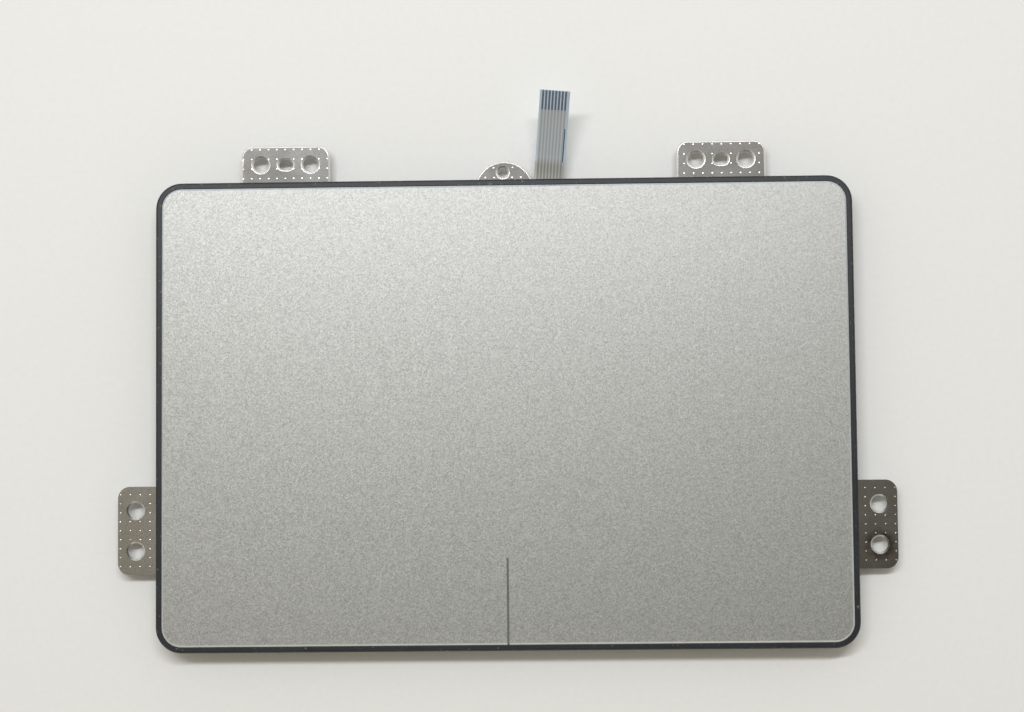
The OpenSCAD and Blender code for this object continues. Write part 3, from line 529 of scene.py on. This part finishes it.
from_hole = add_node(tree, "ShaderNodeVectorMath", {0: place, 1: GREASE_AT}, operation="DISTANCE")
ring = add_node(tree, "ShaderNodeMapRange", {
    "Value": from_hole.outputs["Value"], "From Min": 1.5 * MM, "From Max": 2.7 * MM,
    "To Min": 1.0, "To Max": 0.0})
blots = add_node(tree, "ShaderNodeTexNoise", {"Vector": place, "Scale": 1 / (1.1 * MM), "Detail": 3.0})
blot = add_node(tree, "ShaderNodeMapRange", {"Value": blots, "From Min": 0.3, "From Max": 0.6})
grease = add_node(tree, "ShaderNodeMath", {0: ring, 1: blot}, operation="MULTIPLY")
greased = add_node(tree, "ShaderNodeMix", {
    0: grease, 6: grained.outputs[2], 7: linear("#6d6360")}, data_type="RGBA")
# The share makes the metal more matt and paints it paler, a painted highlight
worked = add_node(tree, "ShaderNodeAttribute", attribute_name="worked").outputs["Fac"]
glint_tone = add_node(tree, "ShaderNodeMix", {
    0: worked, 6: greased.outputs[2], 7: linear("#f2f1ee")}, data_type="RGBA")
tree.links.new(glint_tone.outputs[2], shader.inputs["Base Color"])
grain_rough = add_node(tree, "ShaderNodeMapRange", {
    "Value": grain, "From Min": 0.3, "From Max": 0.7, "To Min": 0.09, "To Max": 0.13})
smudge_rough = add_node(tree, "ShaderNodeMath", {0: worn, 1: 0.02, 2: grain_rough}, operation="MULTIPLY_ADD")
worked_rough = add_node(tree, "ShaderNodeMix", {0: worked, 2: smudge_rough, 3: 0.38}, data_type="FLOAT")
tree.links.new(worked_rough.outputs[0], shader.inputs["Roughness"])
grain_bump = add_node(tree, "ShaderNodeBump", {"Height": grain, "Strength": 1.0, "Distance": 0.001 * MM})
tree.links.new(grain_bump.outputs[0], shader.inputs["Normal"])

# The lens that cuts a dimple: a shallow cap of a ball, closed a little above the plate
ball_up = math.sqrt(DIMPLE_BALL_R**2 - DIMPLE_R**2)
lens_radii = [DIMPLE_R * share for share in LENS_SHARES]
bowl = [(radius, ball_up - math.sqrt(DIMPLE_BALL_R**2 - radius**2)) for radius in lens_radii]
lens_mesh = turned_part("dimple_lens", bowl + [(lens_radii[-1], LENS_TOP), (0, LENS_TOP)], 12)
lens_part = placed("dimple_lens", lens_mesh)
plate_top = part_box("support_bracket")[1][2]
rear_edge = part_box("rim_frame")[1][1] - TAB_ROOT * MM
plate = finished_copy("support_bracket", edge=ROLLED_EDGE, steps=3, least=35, most=60,
                      beyond=(-1.0, rear_edge, plate_top - 0.01 * MM))
bracket_mesh = grown("support_bracket_steel", plate, [
    (dimple_tree, {"Columns": columns, "Rows": rows, "Width": width * MM, "Depth": depth * MM,
                   "Middle": (x * MM, y * MM, plate_top), "Lens": lens_part, "Material": stainless})
    for columns, rows, width, depth, x, y in DIMPLE_FIELDS])
bpy.data.objects.remove(lens_part)
shade(bracket_mesh)
# Faces that are not level get the painted highlight and matt finish, in full on the rear tabs and less
# elsewhere
worked_and_glint_faces = bracket_mesh.attributes.new("worked", "FLOAT", "FACE")
for face in bracket_mesh.polygons:
    if abs(face.normal.z) > LEVEL_FACE:
        face.use_smooth = False
    else:
        worked_and_glint_faces.data[face.index].value = 1.0 if face.center.y > rear_edge else SIDE_WORKED_AND_GLINT
add_piece("support_bracket_steel", bracket_mesh, None, "bracket", "bracket_steel", "support_bracket")

# Hinge leaves: two strips of bright satin spring steel that carry the pad. Each foot is riveted to the
# bracket, a soft bend lifts its arm under the board, and a window in the bend makes it springy.
LEAF_BEND = 0.4


def mottled(name, light, dark, patch, rough, grain, relief, **sockets):
    """A material that drifts between two tones in patches, with a fine grain in its gloss and relief. Sizes
    are in mm."""
    material, tree, shader = new_material(name, **sockets)
    place = add_node(tree, "ShaderNodeTexCoord").outputs["Object"]
    patches = add_node(tree, "ShaderNodeTexNoise", {
        "Vector": place, "Scale": 1 / (patch * MM), "Detail": 3.0})
    drift = add_node(tree, "ShaderNodeMapRange", {"Value": patches, "From Min": 0.3, "From Max": 0.7})
    tone = add_node(tree, "ShaderNodeMix", {0: drift, 6: linear(dark), 7: linear(light)}, data_type="RGBA")
    tree.links.new(tone.outputs[2], shader.inputs["Base Color"])
    grains = add_node(tree, "ShaderNodeTexNoise", {"Vector": place, "Scale": 1 / (grain * MM), "Detail": 3.0})
    gloss = add_node(tree, "ShaderNodeMapRange", {
        "Value": grains, "From Min": 0.3, "From Max": 0.7, "To Min": rough[0], "To Max": rough[1]})
    tree.links.new(gloss.outputs[0], shader.inputs["Roughness"])
    bump = add_node(tree, "ShaderNodeBump", {"Height": grains, "Strength": 1.0, "Distance": relief * MM})
    tree.links.new(bump.outputs[0], shader.inputs["Normal"])
    return material


def dressed(piece, node, material, body, slot, **rounding):
    """Puts a CAD node's finished copy in the scene as a piece of one material."""
    return add_piece(piece, finished_copy(node, **rounding), [material], body, slot, node)


spring_steel = mottled(
    "spring_steel_strip", "#c9cacb", "#b4b6b9", patch=3.0, rough=(0.2, 0.32), grain=0.1, relief=0.002,
    Metallic=1.0)
for side in ("left", "right"):
    dressed("hinge_leaf_strip_" + side, "hinge_leaf_" + side, spring_steel, "bracket", "spring_steel",
            edge=LEAF_BEND, steps=4, least=5, most=40)

# Leaf rivets: four small steel rivets, two through each leaf's foot, their heads pressed to low domes. The
# steel is a warmer grey than the leaves and blotchy where the press has marked it.
RIVET_SHANK_R = 0.7
HEAD_H = 0.2
# Shares of the head's radius and of its height, from the head's rim to its crown
HEAD_DOME = [(1, 1), (0.97, 0.6), (0.85, 0.3), (0.55, 0.08), (0, 0)]
rivet_steel = mottled(
    "bright_rivet_steel", "#c6c6c4", "#aeadaa", patch=0.6, rough=(0.22, 0.4), grain=0.08, relief=0.002,
    Metallic=1.0)
low_corner, high_corner = (Vector(c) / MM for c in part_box("leaf_rivet_1"))
rivet_r = (high_corner.x - low_corner.x) / 2
rivet_h = high_corner.z - low_corner.z
dome = [(rivet_r * across, HEAD_H * down) for across, down in HEAD_DOME]
shank = [(RIVET_SHANK_R, HEAD_H), (RIVET_SHANK_R, rivet_h - HEAD_H)]
rivet = turned_part("rivet", dome[::-1] + shank + [(r, rivet_h - h) for r, h in dome])
rivet_step = Vector(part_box("leaf_rivet_2")[0]) - Vector(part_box("leaf_rivet_1")[0])
rivet_rows = []
for node in ("leaf_rivet_1", "leaf_rivet_3"):
    low_corner, high_corner = (Vector(c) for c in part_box(node))
    start = (low_corner + high_corner) / 2
    start.z = low_corner.z
    rivet_rows.append((rivet, rivet_steel, 2, start, rivet_step, 0.0))
add_piece("leaf_rivets", rows_of("leaf_rivets", rivet_rows), None, "bracket", "rivet_steel",
          *["leaf_rivet_" + str(i) for i in (1, 2, 3, 4)])

# Strike screw: a black steel set screw in the bracket's collar, dark and dull from its oxide finish. The
# click switch lands on its flat top, and a hexagon socket in its lower end sets the height.
black_oxide = mottled(
    "black_oxide_steel", "#3a3a3d", "#232326", patch=0.5, rough=(0.3, 0.5), grain=0.06, relief=0.002,
    Metallic=0.7)
dressed("strike_screw_steel", "strike_screw", black_oxide, "bracket", "screw_steel", edge=0.06)

# Click dampers: two black pads of closed-cell foam, die-cut and stuck to the bracket's front corners, that
# hush the pad's return. The cut cells make the foam dead matt and pitted.
foam = mottled(
    "closed_cell_foam", "#2e2e31", "#1c1c1f", patch=0.25, rough=(0.85, 0.95), grain=0.12, relief=0.03)
for side in ("left", "right"):
    pad = dressed("click_damper_foam_" + side, "click_damper_" + side, foam, "bracket", "damper_foam",
                  edge=0.15, steps=4)

# Rim frame: a black moulded frame round the sheet, with a ledge under the board and two hooks behind the
# bracket. Its face is finely spark-eroded, so it looks matt and dark grey where light grazes it.
rim_plastic = mottled(
    "moulded_black_abs", "#1d2229", "#14181d", patch=4.0, rough=(0.38, 0.5), grain=0.14, relief=0.006,
    Specular_IOR_Level=0.5)
# Dust: pale brown specks, 0.2 to 0.5 mm, caught in the matt face here and there
tree = rim_plastic.node_tree
shader = tree.nodes["Principled BSDF"]
clean_tone = shader.inputs["Base Color"].links[0].from_socket
place = add_node(tree, "ShaderNodeTexCoord").outputs["Object"]
motes = add_node(tree, "ShaderNodeTexNoise", {"Vector": place, "Scale": 1 / (0.55 * MM), "Detail": 2.0})
mote = add_node(tree, "ShaderNodeMapRange", {
    "Value": motes, "From Min": 0.66, "From Max": 0.74, "To Min": 0.0, "To Max": 0.6})
dusty = add_node(tree, "ShaderNodeMix", {0: mote, 6: clean_tone, 7: linear("#7d7263")}, data_type="RGBA")
tree.links.new(dusty.outputs[2], shader.inputs["Base Color"])
dressed("rim_frame_moulding", "rim_frame", rim_plastic, "pad", "rim_black", edge=0.06, steps=3)

# Sensor board: a 0.8 mm glass-epoxy board bonded on the rim's ledge, its parts soldered to the underside.
# Etched tracks run from the controller to the cable, the click switch and the plated holes of the sensing
# lines.
TRACK_W = 0.22
TRACK_T = 0.06
TRACK_BEND = 0.5
MOAT_W = 0.7
MOAT_T = 0.02
# Where tracks start at the controller's four sides, and where the side tracks turn off to their plated holes
CHIP_LEFT, CHIP_RIGHT = -12.7, -5.3
CHIP_FRONT, CHIP_REAR = -2.7, 4.7
SIDE_PADS = (-1.4, -0.2, 1.0, 2.2, 3.4)
FRONT_PADS = (-11.4, -10.2, -9.0)
REAR_PAD, REAR_PITCH = -6.25, 0.5
LEFT_TURN, RIGHT_TURN = -15.5, -1
LEFT_HOLE, LEFT_HOLE_STEP = (-37, -14), (2.5, 6.3)
RIGHT_HOLE, RIGHT_HOLE_STEP = (36, -13), (-3, 3.75)
FRONT_TURN, FRONT_STEP, FRONT_SLANT = -12, 2, 6
# Two tracks to the click switch and one from the regulator, corner by corner
SWITCH_TRACKS = [
    [(-7.8, CHIP_FRONT), (-7.8, -23.3), (-2.75, -28.35), (-2.75, -28.9)],
    [(-6.6, CHIP_FRONT), (-6.6, -18), (2.75, -27.35), (2.75, -28.9)],
]
REGULATOR_TRACK = [(0.49, -7.0), (0.49, -10.5), (3.0, -13.0)]
SWITCH_REAR = -25
# The connector's first solder tail, and the lanes that lead from its tails round to the controller's rear
TAIL_X, TAIL_Y = 3, 9.6
LANE_Y, LANE_STEP = 10.2, 0.6
# Green solder mask: glossy, with the hatched copper below it showing as a lighter diagonal net
solder_mask, tree, shader = new_material(
    "green_solder_mask", Roughness=0.3, Coat_Weight=0.4, Coat_Roughness=0.12)
place = add_node(tree, "ShaderNodeTexCoord").outputs["Object"]
diagonal = add_node(tree, "ShaderNodeMapping", {"Vector": place, "Rotation": (0, 0, math.radians(45))})
axes = add_node(tree, "ShaderNodeSeparateXYZ", {0: diagonal})
hatch_lines = []
for axis in (0, 1):
    run = add_node(tree, "ShaderNodeMath", {0: axes.outputs[axis], 1: 1 / (1.2 * MM)}, operation="MULTIPLY")
    cell = add_node(tree, "ShaderNodeMath", {0: run}, operation="FRACT")
    hatch_lines.append(add_node(tree, "ShaderNodeMath", {0: cell, 1: 0.3}, operation="LESS_THAN"))
hatch = add_node(tree, "ShaderNodeMath", {0: hatch_lines[0], 1: hatch_lines[1]}, operation="MAXIMUM")
mask_tone = add_node(tree, "ShaderNodeMix", {
    0: hatch, 6: linear("#0f4a30"), 7: linear("#2b7a4c")}, data_type="RGBA")
tree.links.new(mask_tone.outputs[2], shader.inputs["Base Color"])
# The mask is lighter over a track, and plain dark green in the moat that keeps the hatch away from it.
over_track = mottled(
    "solder_mask_over_track", "#3a9160", "#2f8354", patch=1.0, rough=(0.22, 0.32), grain=0.1, relief=0.001,
    Coat_Weight=0.4)
over_moat = mottled(
    "solder_mask_over_epoxy", "#0f4a30", "#0c4029", patch=1.0, rough=(0.26, 0.36), grain=0.1, relief=0.001,
    Coat_Weight=0.4)
# Gold flash is thin and warm with a soft shine. Solder is bright, pale and slightly frosted.
gold = mottled(
    "gold_flash", "#d8b25e", "#c49a45", patch=0.4, rough=(0.2, 0.35), grain=0.06, relief=0.002, Metallic=1.0)
solder = mottled(
    "tin_silver_solder", "#d4d5d4", "#bcbdbc", patch=0.3, rough=(0.14, 0.28), grain=0.1, relief=0.003,
    Metallic=1.0)

# Tracks: a flat strip carried along each run of the copper drawing, its bends rounded
run_tree, given = geometry_tree("board_runs", ("Runs", "Object"), ("Width", "Float"), ("Thickness", "Float"),
                                ("Bend", "Float"), ("Material", "Material"))
drawing = add_node(run_tree, "GeometryNodeObjectInfo", {"Object": given["Runs"]})
runs = add_node(run_tree, "GeometryNodeMeshToCurve", {0: drawing.outputs["Geometry"]})
bends = add_node(run_tree, "GeometryNodeFilletCurve", {
    0: runs, "Radius": given["Bend"], "Count": 3, "Limit Radius": True}, mode="POLY")
level_runs = add_node(run_tree, "GeometryNodeSetCurveNormal", {0: bends}, mode="Z_UP")
strip = add_node(run_tree, "GeometryNodeCurvePrimitiveQuadrilateral", {
    "Width": given["Width"], "Height": given["Thickness"]})
strips = add_node(run_tree, "GeometryNodeCurveToMesh", {
    "Curve": level_runs, "Profile Curve": strip, "Fill Caps": True})
solid_strips = add_node(run_tree, "GeometryNodeRealizeInstances", {0: strips})
masked_strips = add_node(run_tree, "GeometryNodeSetMaterial", {
    0: solid_strips, "Material": given["Material"]})
all_runs = add_node(run_tree, "GeometryNodeJoinGeometry", {0: [given["Geometry"], masked_strips]})
add_node(run_tree, "NodeGroupOutput", {0: all_runs})

copper_runs = []
for i, y in enumerate(SIDE_PADS):
    x_end, y_end = (first + step * i for first, step in zip(LEFT_HOLE, LEFT_HOLE_STEP))
    x_turned = LEFT_TURN - abs(y_end - y)
    copper_runs.append([(CHIP_LEFT, y), (LEFT_TURN, y), (x_turned, y_end), (x_end, y_end)])
    x_end, y_end = (first + step * i for first, step in zip(RIGHT_HOLE, RIGHT_HOLE_STEP))
    x_turned = RIGHT_TURN + abs(y_end - y)
    copper_runs.append([(CHIP_RIGHT, y), (RIGHT_TURN, y), (x_turned, y_end), (x_end, y_end)])
for i, x in enumerate(FRONT_PADS):
    y_turn = FRONT_TURN - FRONT_STEP * i
    copper_runs.append([(x, CHIP_FRONT), (x, y_turn), (x - FRONT_SLANT, y_turn - FRONT_SLANT)])
copper_runs += SWITCH_TRACKS + [REGULATOR_TRACK]
holes = [run[-1] for run in copper_runs if run[-1][1] > SWITCH_REAR]
for i in range(WAYS):
    x_tail = TAIL_X + WAY_PITCH * i
    x_pad = REAR_PAD - REAR_PITCH * i
    y_lane = LANE_Y + LANE_STEP * i
    copper_runs.append([(x_tail, TAIL_Y), (x_tail, y_lane), (x_pad, y_lane), (x_pad, CHIP_REAR)])
board_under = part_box("sensor_board")[0][2]
drawing_mesh = bpy.data.meshes.new("copper_drawing")
run_points = [(x * MM, y * MM, board_under) for run in copper_runs for x, y in run]
run_ends = np.cumsum([len(run) for run in copper_runs])
run_lines = [(k, k + 1) for k in range(len(run_points) - 1) if k + 1 not in run_ends]
drawing_mesh.from_pydata(run_points, run_lines, [])
copper_drawing = placed("copper_drawing", drawing_mesh)
board_mesh = finished_copy("sensor_board")
board_mesh.materials.append(solder_mask)
board_mesh = grown("sensor_board_mask", board_mesh, [
    (run_tree, {"Runs": copper_drawing, "Width": width * MM, "Thickness": thick * MM, "Bend": TRACK_BEND * MM,
                "Material": mask})
    for width, thick, mask in ((MOAT_W, MOAT_T, over_moat), (TRACK_W, TRACK_T, over_track))])
bpy.data.objects.remove(copper_drawing)

# Solder joints at every part's ends, plated holes at the ends of the tracks, and a row of gold test pads
JOINT_SHARES = (0, 0.25, 0.5, 0.75, 1)
JOINT_SPREAD = 0.15
JOINT_CROWN = 0.8
JOINT_TOE = 0.02
JOINT_SINK = 0.01
# Radii and heights of a plated hole's ring and of a test pad, in mm
HOLE_PROFILE = [(0, 0.01), (0.32, 0.01), (0.3, -0.045), (0.15, -0.045), (0.12, 0), (0, 0)]
TEST_PAD_PROFILE = [(0, 0.01), (0.6, 0.01), (0.6, -0.015), (0.57, -0.025), (0, -0.025)]
TEST_PADS = 6
TEST_PAD_X, TEST_PAD_Y, TEST_PAD_STEP = 11, 12.5, 2
LEFT, RIGHT, FRONT, REAR = math.pi, 0.0, -math.pi / 2, math.pi / 2


def solder_joint(width, reach, height):
    """A solder fillet on the board's underside, in mm. It falls along x from a part's end to its pad."""
    rings = []
    for share in JOINT_SHARES:
        half = width / 2 * (1 + JOINT_SPREAD * share)
        crown = half * JOINT_CROWN
        climb = height * (1 - share)**2 + JOINT_TOE
        outline = [(-half, JOINT_SINK), (-crown, -climb), (crown, -climb), (half, JOINT_SINK)]
        rings.append([(reach * share * MM, y * MM, z * MM) for y, z in outline])
    return lofted("solder_joint", rings, 60)


passive_joint = solder_joint(width=0.56, reach=0.32, height=0.3)
terminal_joint = solder_joint(width=0.25, reach=0.28, height=0.12)
lead_joint = solder_joint(width=0.42, reach=0.3, height=0.12)
foot_joint = solder_joint(width=1.6, reach=0.4, height=0.25)
# Each row of joints: the joint, how many, the first one's place and the step to the next in mm, and its way
joint_rows = [
    (passive_joint, 6, (-14.5, -2.0), (0, 1.2), LEFT),
    (passive_joint, 6, (-13.5, -2.0), (0, 1.2), RIGHT),
    (passive_joint, 6, (-4.5, -2.0), (0, 1.2), LEFT),
    (passive_joint, 6, (-3.5, -2.0), (0, 1.2), RIGHT),
    (passive_joint, 8, (-13.2, -4.5), (1.2, 0), FRONT),
    (passive_joint, 8, (-13.2, -3.5), (1.2, 0), REAR),
    (terminal_joint, 12, (-12.65, -1.75), (0, 0.5), LEFT),
    (terminal_joint, 12, (-5.35, -1.75), (0, 0.5), RIGHT),
    (terminal_joint, 12, (-11.75, -2.65), (0.5, 0), FRONT),
    (terminal_joint, 12, (-11.75, 4.65), (0.5, 0), REAR),
    (terminal_joint, WAYS, (3.0, 9.55), (WAY_PITCH, 0), REAR),
    (lead_joint, 3, (-1.592, -6.95), (1.042, 0), FRONT),
    (lead_joint, 2, (-1.592, -4.25), (2.084, 0), REAR),
    (foot_joint, 1, (0.4, 6.75), (0, 0), LEFT),
    (foot_joint, 1, (9.1, 6.75), (0, 0), RIGHT),
    (lead_joint, 2, (-3.1, -32.55), (0, 3.2), LEFT),
    (lead_joint, 2, (3.1, -32.55), (0, 3.2), RIGHT),
]
board_rows = [(joint, solder, count, (x * MM, y * MM, board_under), (a * MM, b * MM, 0), way)
              for joint, count, (x, y), (a, b), way in joint_rows]
plated_hole = turned_part("plated_hole", HOLE_PROFILE, 16)
test_pad = turned_part("test_pad", TEST_PAD_PROFILE, 24)
board_rows += [(plated_hole, gold, 1, (x * MM, y * MM, board_under), (0, 0, 0), 0.0) for x, y in holes]
board_rows += [(test_pad, gold, TEST_PADS, (TEST_PAD_X * MM, TEST_PAD_Y * MM, board_under),
                (TEST_PAD_STEP * MM, 0, 0), 0.0)]
board_mesh = rows_of("sensor_board_mask", board_rows, board_mesh)
add_piece("sensor_board_mask", board_mesh, None, "pad", "board_mask", "sensor_board")

# Sheet adhesive: a clear acrylic transfer film, 0.1 mm thick, that bonds the sheet to the board. Its edge is
# pale and wet-looking.
acrylic = mottled(
    "clear_acrylic_adhesive", "#dcdcd6", "#c9c9c1", patch=2.0, rough=(0.2, 0.3), grain=0.3, relief=0.002)
dressed("sheet_adhesive_film", "sheet_adhesive", acrylic, "pad", "film")

# Touch sheet: a thin coated panel, silver sparkle under a satin coat. Its upper edge is cut to a bright
# polished chamfer, and a short groove at the front, inked a little wider than it is cut, parts the two button
# areas.
LINE_W = 0.34
# The groove's corners lie near the middle, a little below the face and clear of the front edge
GROOVE_REACH = 0.5
GROOVE_LEAST, GROOVE_MOST = 0.001, 0.2
EDGE_CLEAR = 1
FACES_UP = 0.3
LIES_LEVEL = 0.98
# Silver sparkle coat: each fine flake is a little lighter or darker and tilts its own way, so it glitters
sparkle, tree, shader = new_material("silver_sparkle_coat", Metallic=0.86)
place = add_node(tree, "ShaderNodeTexCoord").outputs["Object"]
flakes = add_node(tree, "ShaderNodeTexVoronoi", {
    "Vector": place, "Scale": 1 / (0.15 * MM), "Randomness": 1.0})
flake_parts = add_node(tree, "ShaderNodeSeparateColor", {0: flakes.outputs["Color"]})
silver = add_node(tree, "ShaderNodeMix", {
    0: flake_parts, 6: linear("#9a9b98"), 7: linear("#babbb7")}, data_type="RGBA")
tree.links.new(silver.outputs[2], shader.inputs["Base Color"])
satin = add_node(tree, "ShaderNodeMapRange", {"Value": flake_parts, "To Min": 0.44, "To Max": 0.48})
tree.links.new(satin.outputs[0], shader.inputs["Roughness"])
tilt = add_node(tree, "ShaderNodeVectorMath", {
    0: flakes.outputs["Color"], 1: (0.5, 0.5, 0.5)}, operation="SUBTRACT")
tilt_small = add_node(tree, "ShaderNodeVectorMath", {0: tilt, "Scale": 0.05}, operation="SCALE")
facing = add_node(tree, "ShaderNodeNewGeometry").outputs["Normal"]
tilted = add_node(tree, "ShaderNodeVectorMath", {0: facing, 1: tilt_small}, operation="ADD")
flake_way = add_node(tree, "ShaderNodeVectorMath", {0: tilted}, operation="NORMALIZE")
tree.links.new(flake_way.outputs[0], shader.inputs["Normal"])
# The polished edge is a thin bright line, cooler than the coat. The ink is matt and mid grey.
polished = mottled(
    "polished_sheet_edge", "#dbe4ee", "#cfd8e2", patch=2.0, rough=(0.3, 0.4), grain=0.1, relief=0.001,
    Metallic=1.0)
divider_ink = mottled(
    "dark_divider_ink", "#6f7271", "#5f6261", patch=0.8, rough=(0.5, 0.6), grain=0.1, relief=0.001)
sheet_coats = [sparkle, polished, divider_ink]
sheet_mesh = finished_copy("touch_sheet")
sheet_low, sheet_high = (Vector(c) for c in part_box("touch_sheet"))
groove = [v.co for v in sheet_mesh.vertices
          if abs(v.co.x) < GROOVE_REACH * MM
          and GROOVE_LEAST * MM < sheet_high.z - v.co.z < GROOVE_MOST * MM
          and v.co.y > sheet_low.y + EDGE_CLEAR * MM]
line_x = sum(co.x for co in groove) / len(groove)
line_end = max(co.y for co in groove)
line_cuts = [
    ((line_x - LINE_W / 2 * MM, 0, 0), (1, 0, 0)),
    ((line_x + LINE_W / 2 * MM, 0, 0), (1, 0, 0)),
    ((0, line_end, 0), (0, 1, 0)),
]
solid = bmesh.new()
solid.from_mesh(sheet_mesh)
for corner, way in line_cuts:
    sheet_parts = solid.verts[:] + solid.edges[:] + solid.faces[:]
    bmesh.ops.bisect_plane(solid, geom=sheet_parts, plane_co=corner, plane_no=way)
solid.to_mesh(sheet_mesh)
solid.free()
for face in sheet_mesh.polygons:
    in_line = abs(face.center.x - line_x) < LINE_W / 2 * MM and face.center.y < line_end
    if in_line and face.normal.z > FACES_UP:
        face.material_index = sheet_coats.index(divider_ink)
    elif FACES_UP < face.normal.z < LIES_LEVEL:
        face.material_index = sheet_coats.index(polished)
add_piece("touch_sheet_panel", sheet_mesh, sheet_coats, "pad", "sheet_silver", "touch_sheet")

# Hinge tapes: polyimide bonding tape between each leaf's arm and the board. The film is a clear brown amber
# with a smooth shine.
polyimide = mottled(
    "amber_polyimide_tape", "#b0762a", "#93601f", patch=1.5, rough=(0.15, 0.28), grain=0.5, relief=0.004,
    Coat_Weight=0.3)
for side in ("left", "right"):
    dressed("hinge_tape_strip_" + side, "hinge_tape_" + side, polyimide, "pad", "tape")

# Touch controller and voltage regulator: black moulded epoxy packages, soldered to the board by tinned
# terminals. The epoxy is dull and finely grained, and the tin is pale and matt.
epoxy = mottled(
    "moulded_epoxy", "#2c2d30", "#232427", patch=0.8, rough=(0.45, 0.65), grain=0.06, relief=0.004)
matt_tin = mottled(
    "matt_tin_plate", "#c9c9c6", "#b1b1ae", patch=0.3, rough=(0.3, 0.45), grain=0.06, relief=0.003,
    Metallic=1.0)
dressed("touch_controller_body", "touch_controller", epoxy, "pad", "chip_black", edge=0.04)
dressed("controller_terminal_tin", "controller_terminals", matt_tin, "pad", "tin", edge=0.03)
dressed("voltage_regulator_body", "voltage_regulator", epoxy, "pad", "chip_black", edge=0.08)
dressed("regulator_lead_tin", "regulator_leads", matt_tin, "pad", "tin", edge=0.02, steps=1)

# Chip capacitors and resistors: small fired ceramic blocks with tinned ends. Capacitors are a dry tan all
# through, and resistors have a black glaze with some gloss.
CHIP_EDGE = 0.03
END_FROM = 0.26
CAPACITOR_COLUMNS = (-14, -4)
RESISTOR_ROW = -4
ceramic = mottled(
    "fired_capacitor_ceramic", "#b3906a", "#9a7852", patch=0.4, rough=(0.4, 0.6), grain=0.08, relief=0.003)
glaze = mottled(
    "black_resistor_glaze", "#26262a", "#1a1a1d", patch=0.4, rough=(0.25, 0.4), grain=0.08, relief=0.002)
capacitors = finished_copy("chip_capacitors", edge=CHIP_EDGE)
for face in capacitors.polygons:
    face.material_index = min(abs(face.center.x / MM - x) for x in CAPACITOR_COLUMNS) > END_FROM
resistors = finished_copy("chip_resistors", edge=CHIP_EDGE)
for face in resistors.polygons:
    face.material_index = abs(face.center.y / MM - RESISTOR_ROW) > END_FROM
add_piece("capacitor_blocks", capacitors, [ceramic, matt_tin], "pad", "ceramic", "chip_capacitors")
add_piece("resistor_blocks", resistors, [glaze, matt_tin], "pad", "resistor", "chip_resistors")

# Ribbon connector: a heat-resistant moulding with gold-flashed solder tails and two tinned feet. A latch
# turns on its trunnions to hold the ribbon. The housing is a satin ivory and the latch a dark satin brown.
ivory = mottled(
    "ivory_connector_moulding", "#ded5bd", "#cfc5ab", patch=1.0, rough=(0.4, 0.55), grain=0.08, relief=0.003)
latch_plastic = mottled(
    "dark_brown_latch_moulding", "#3a2c26", "#2b201c", patch=0.8, rough=(0.4, 0.55), grain=0.08, relief=0.003)
dressed("connector_housing_moulding", "connector_housing", ivory, "pad", "housing_ivory", edge=0.03)
dressed("connector_solder_tails", "connector_contacts", gold, "pad", "gold", edge=0.02)
dressed("connector_feet", "connector_hold_downs", matt_tin, "pad", "tin", edge=0.02)
dressed("connector_latch_moulding", "connector_latch", latch_plastic, "latch", "latch_brown", edge=0.02)

# Click switch: a tactile switch on the board's front, a base with a steel snap dome in its well, a plunger
# and a thin steel cover that keeps it in. The nylon base is dull black and the acetal plunger a waxy white.
nylon = mottled(
    "black_glass_filled_nylon", "#303236", "#26282b", patch=0.6, rough=(0.45, 0.6), grain=0.08, relief=0.004)
acetal = mottled("white_acetal", "#e6e4de", "#d8d6cf", patch=0.8, rough=(0.35, 0.5), grain=0.1, relief=0.002)
dressed("switch_base_moulding", "switch_base", nylon, "pad", "switch_black", edge=0.04)
snap_dome = dressed("switch_snap_dome", "switch_dome", spring_steel, "pad", "spring_steel")
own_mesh(snap_dome)
dressed("switch_plunger_moulding", "switch_plunger", acetal, "plunger", "plunger_white", edge=0.04)
dressed("switch_cover_plate", "switch_cover", spring_steel, "pad", "spring_steel", edge=0.02)
dressed("switch_terminal_gold", "switch_terminals", gold, "pad", "gold", edge=0.03)
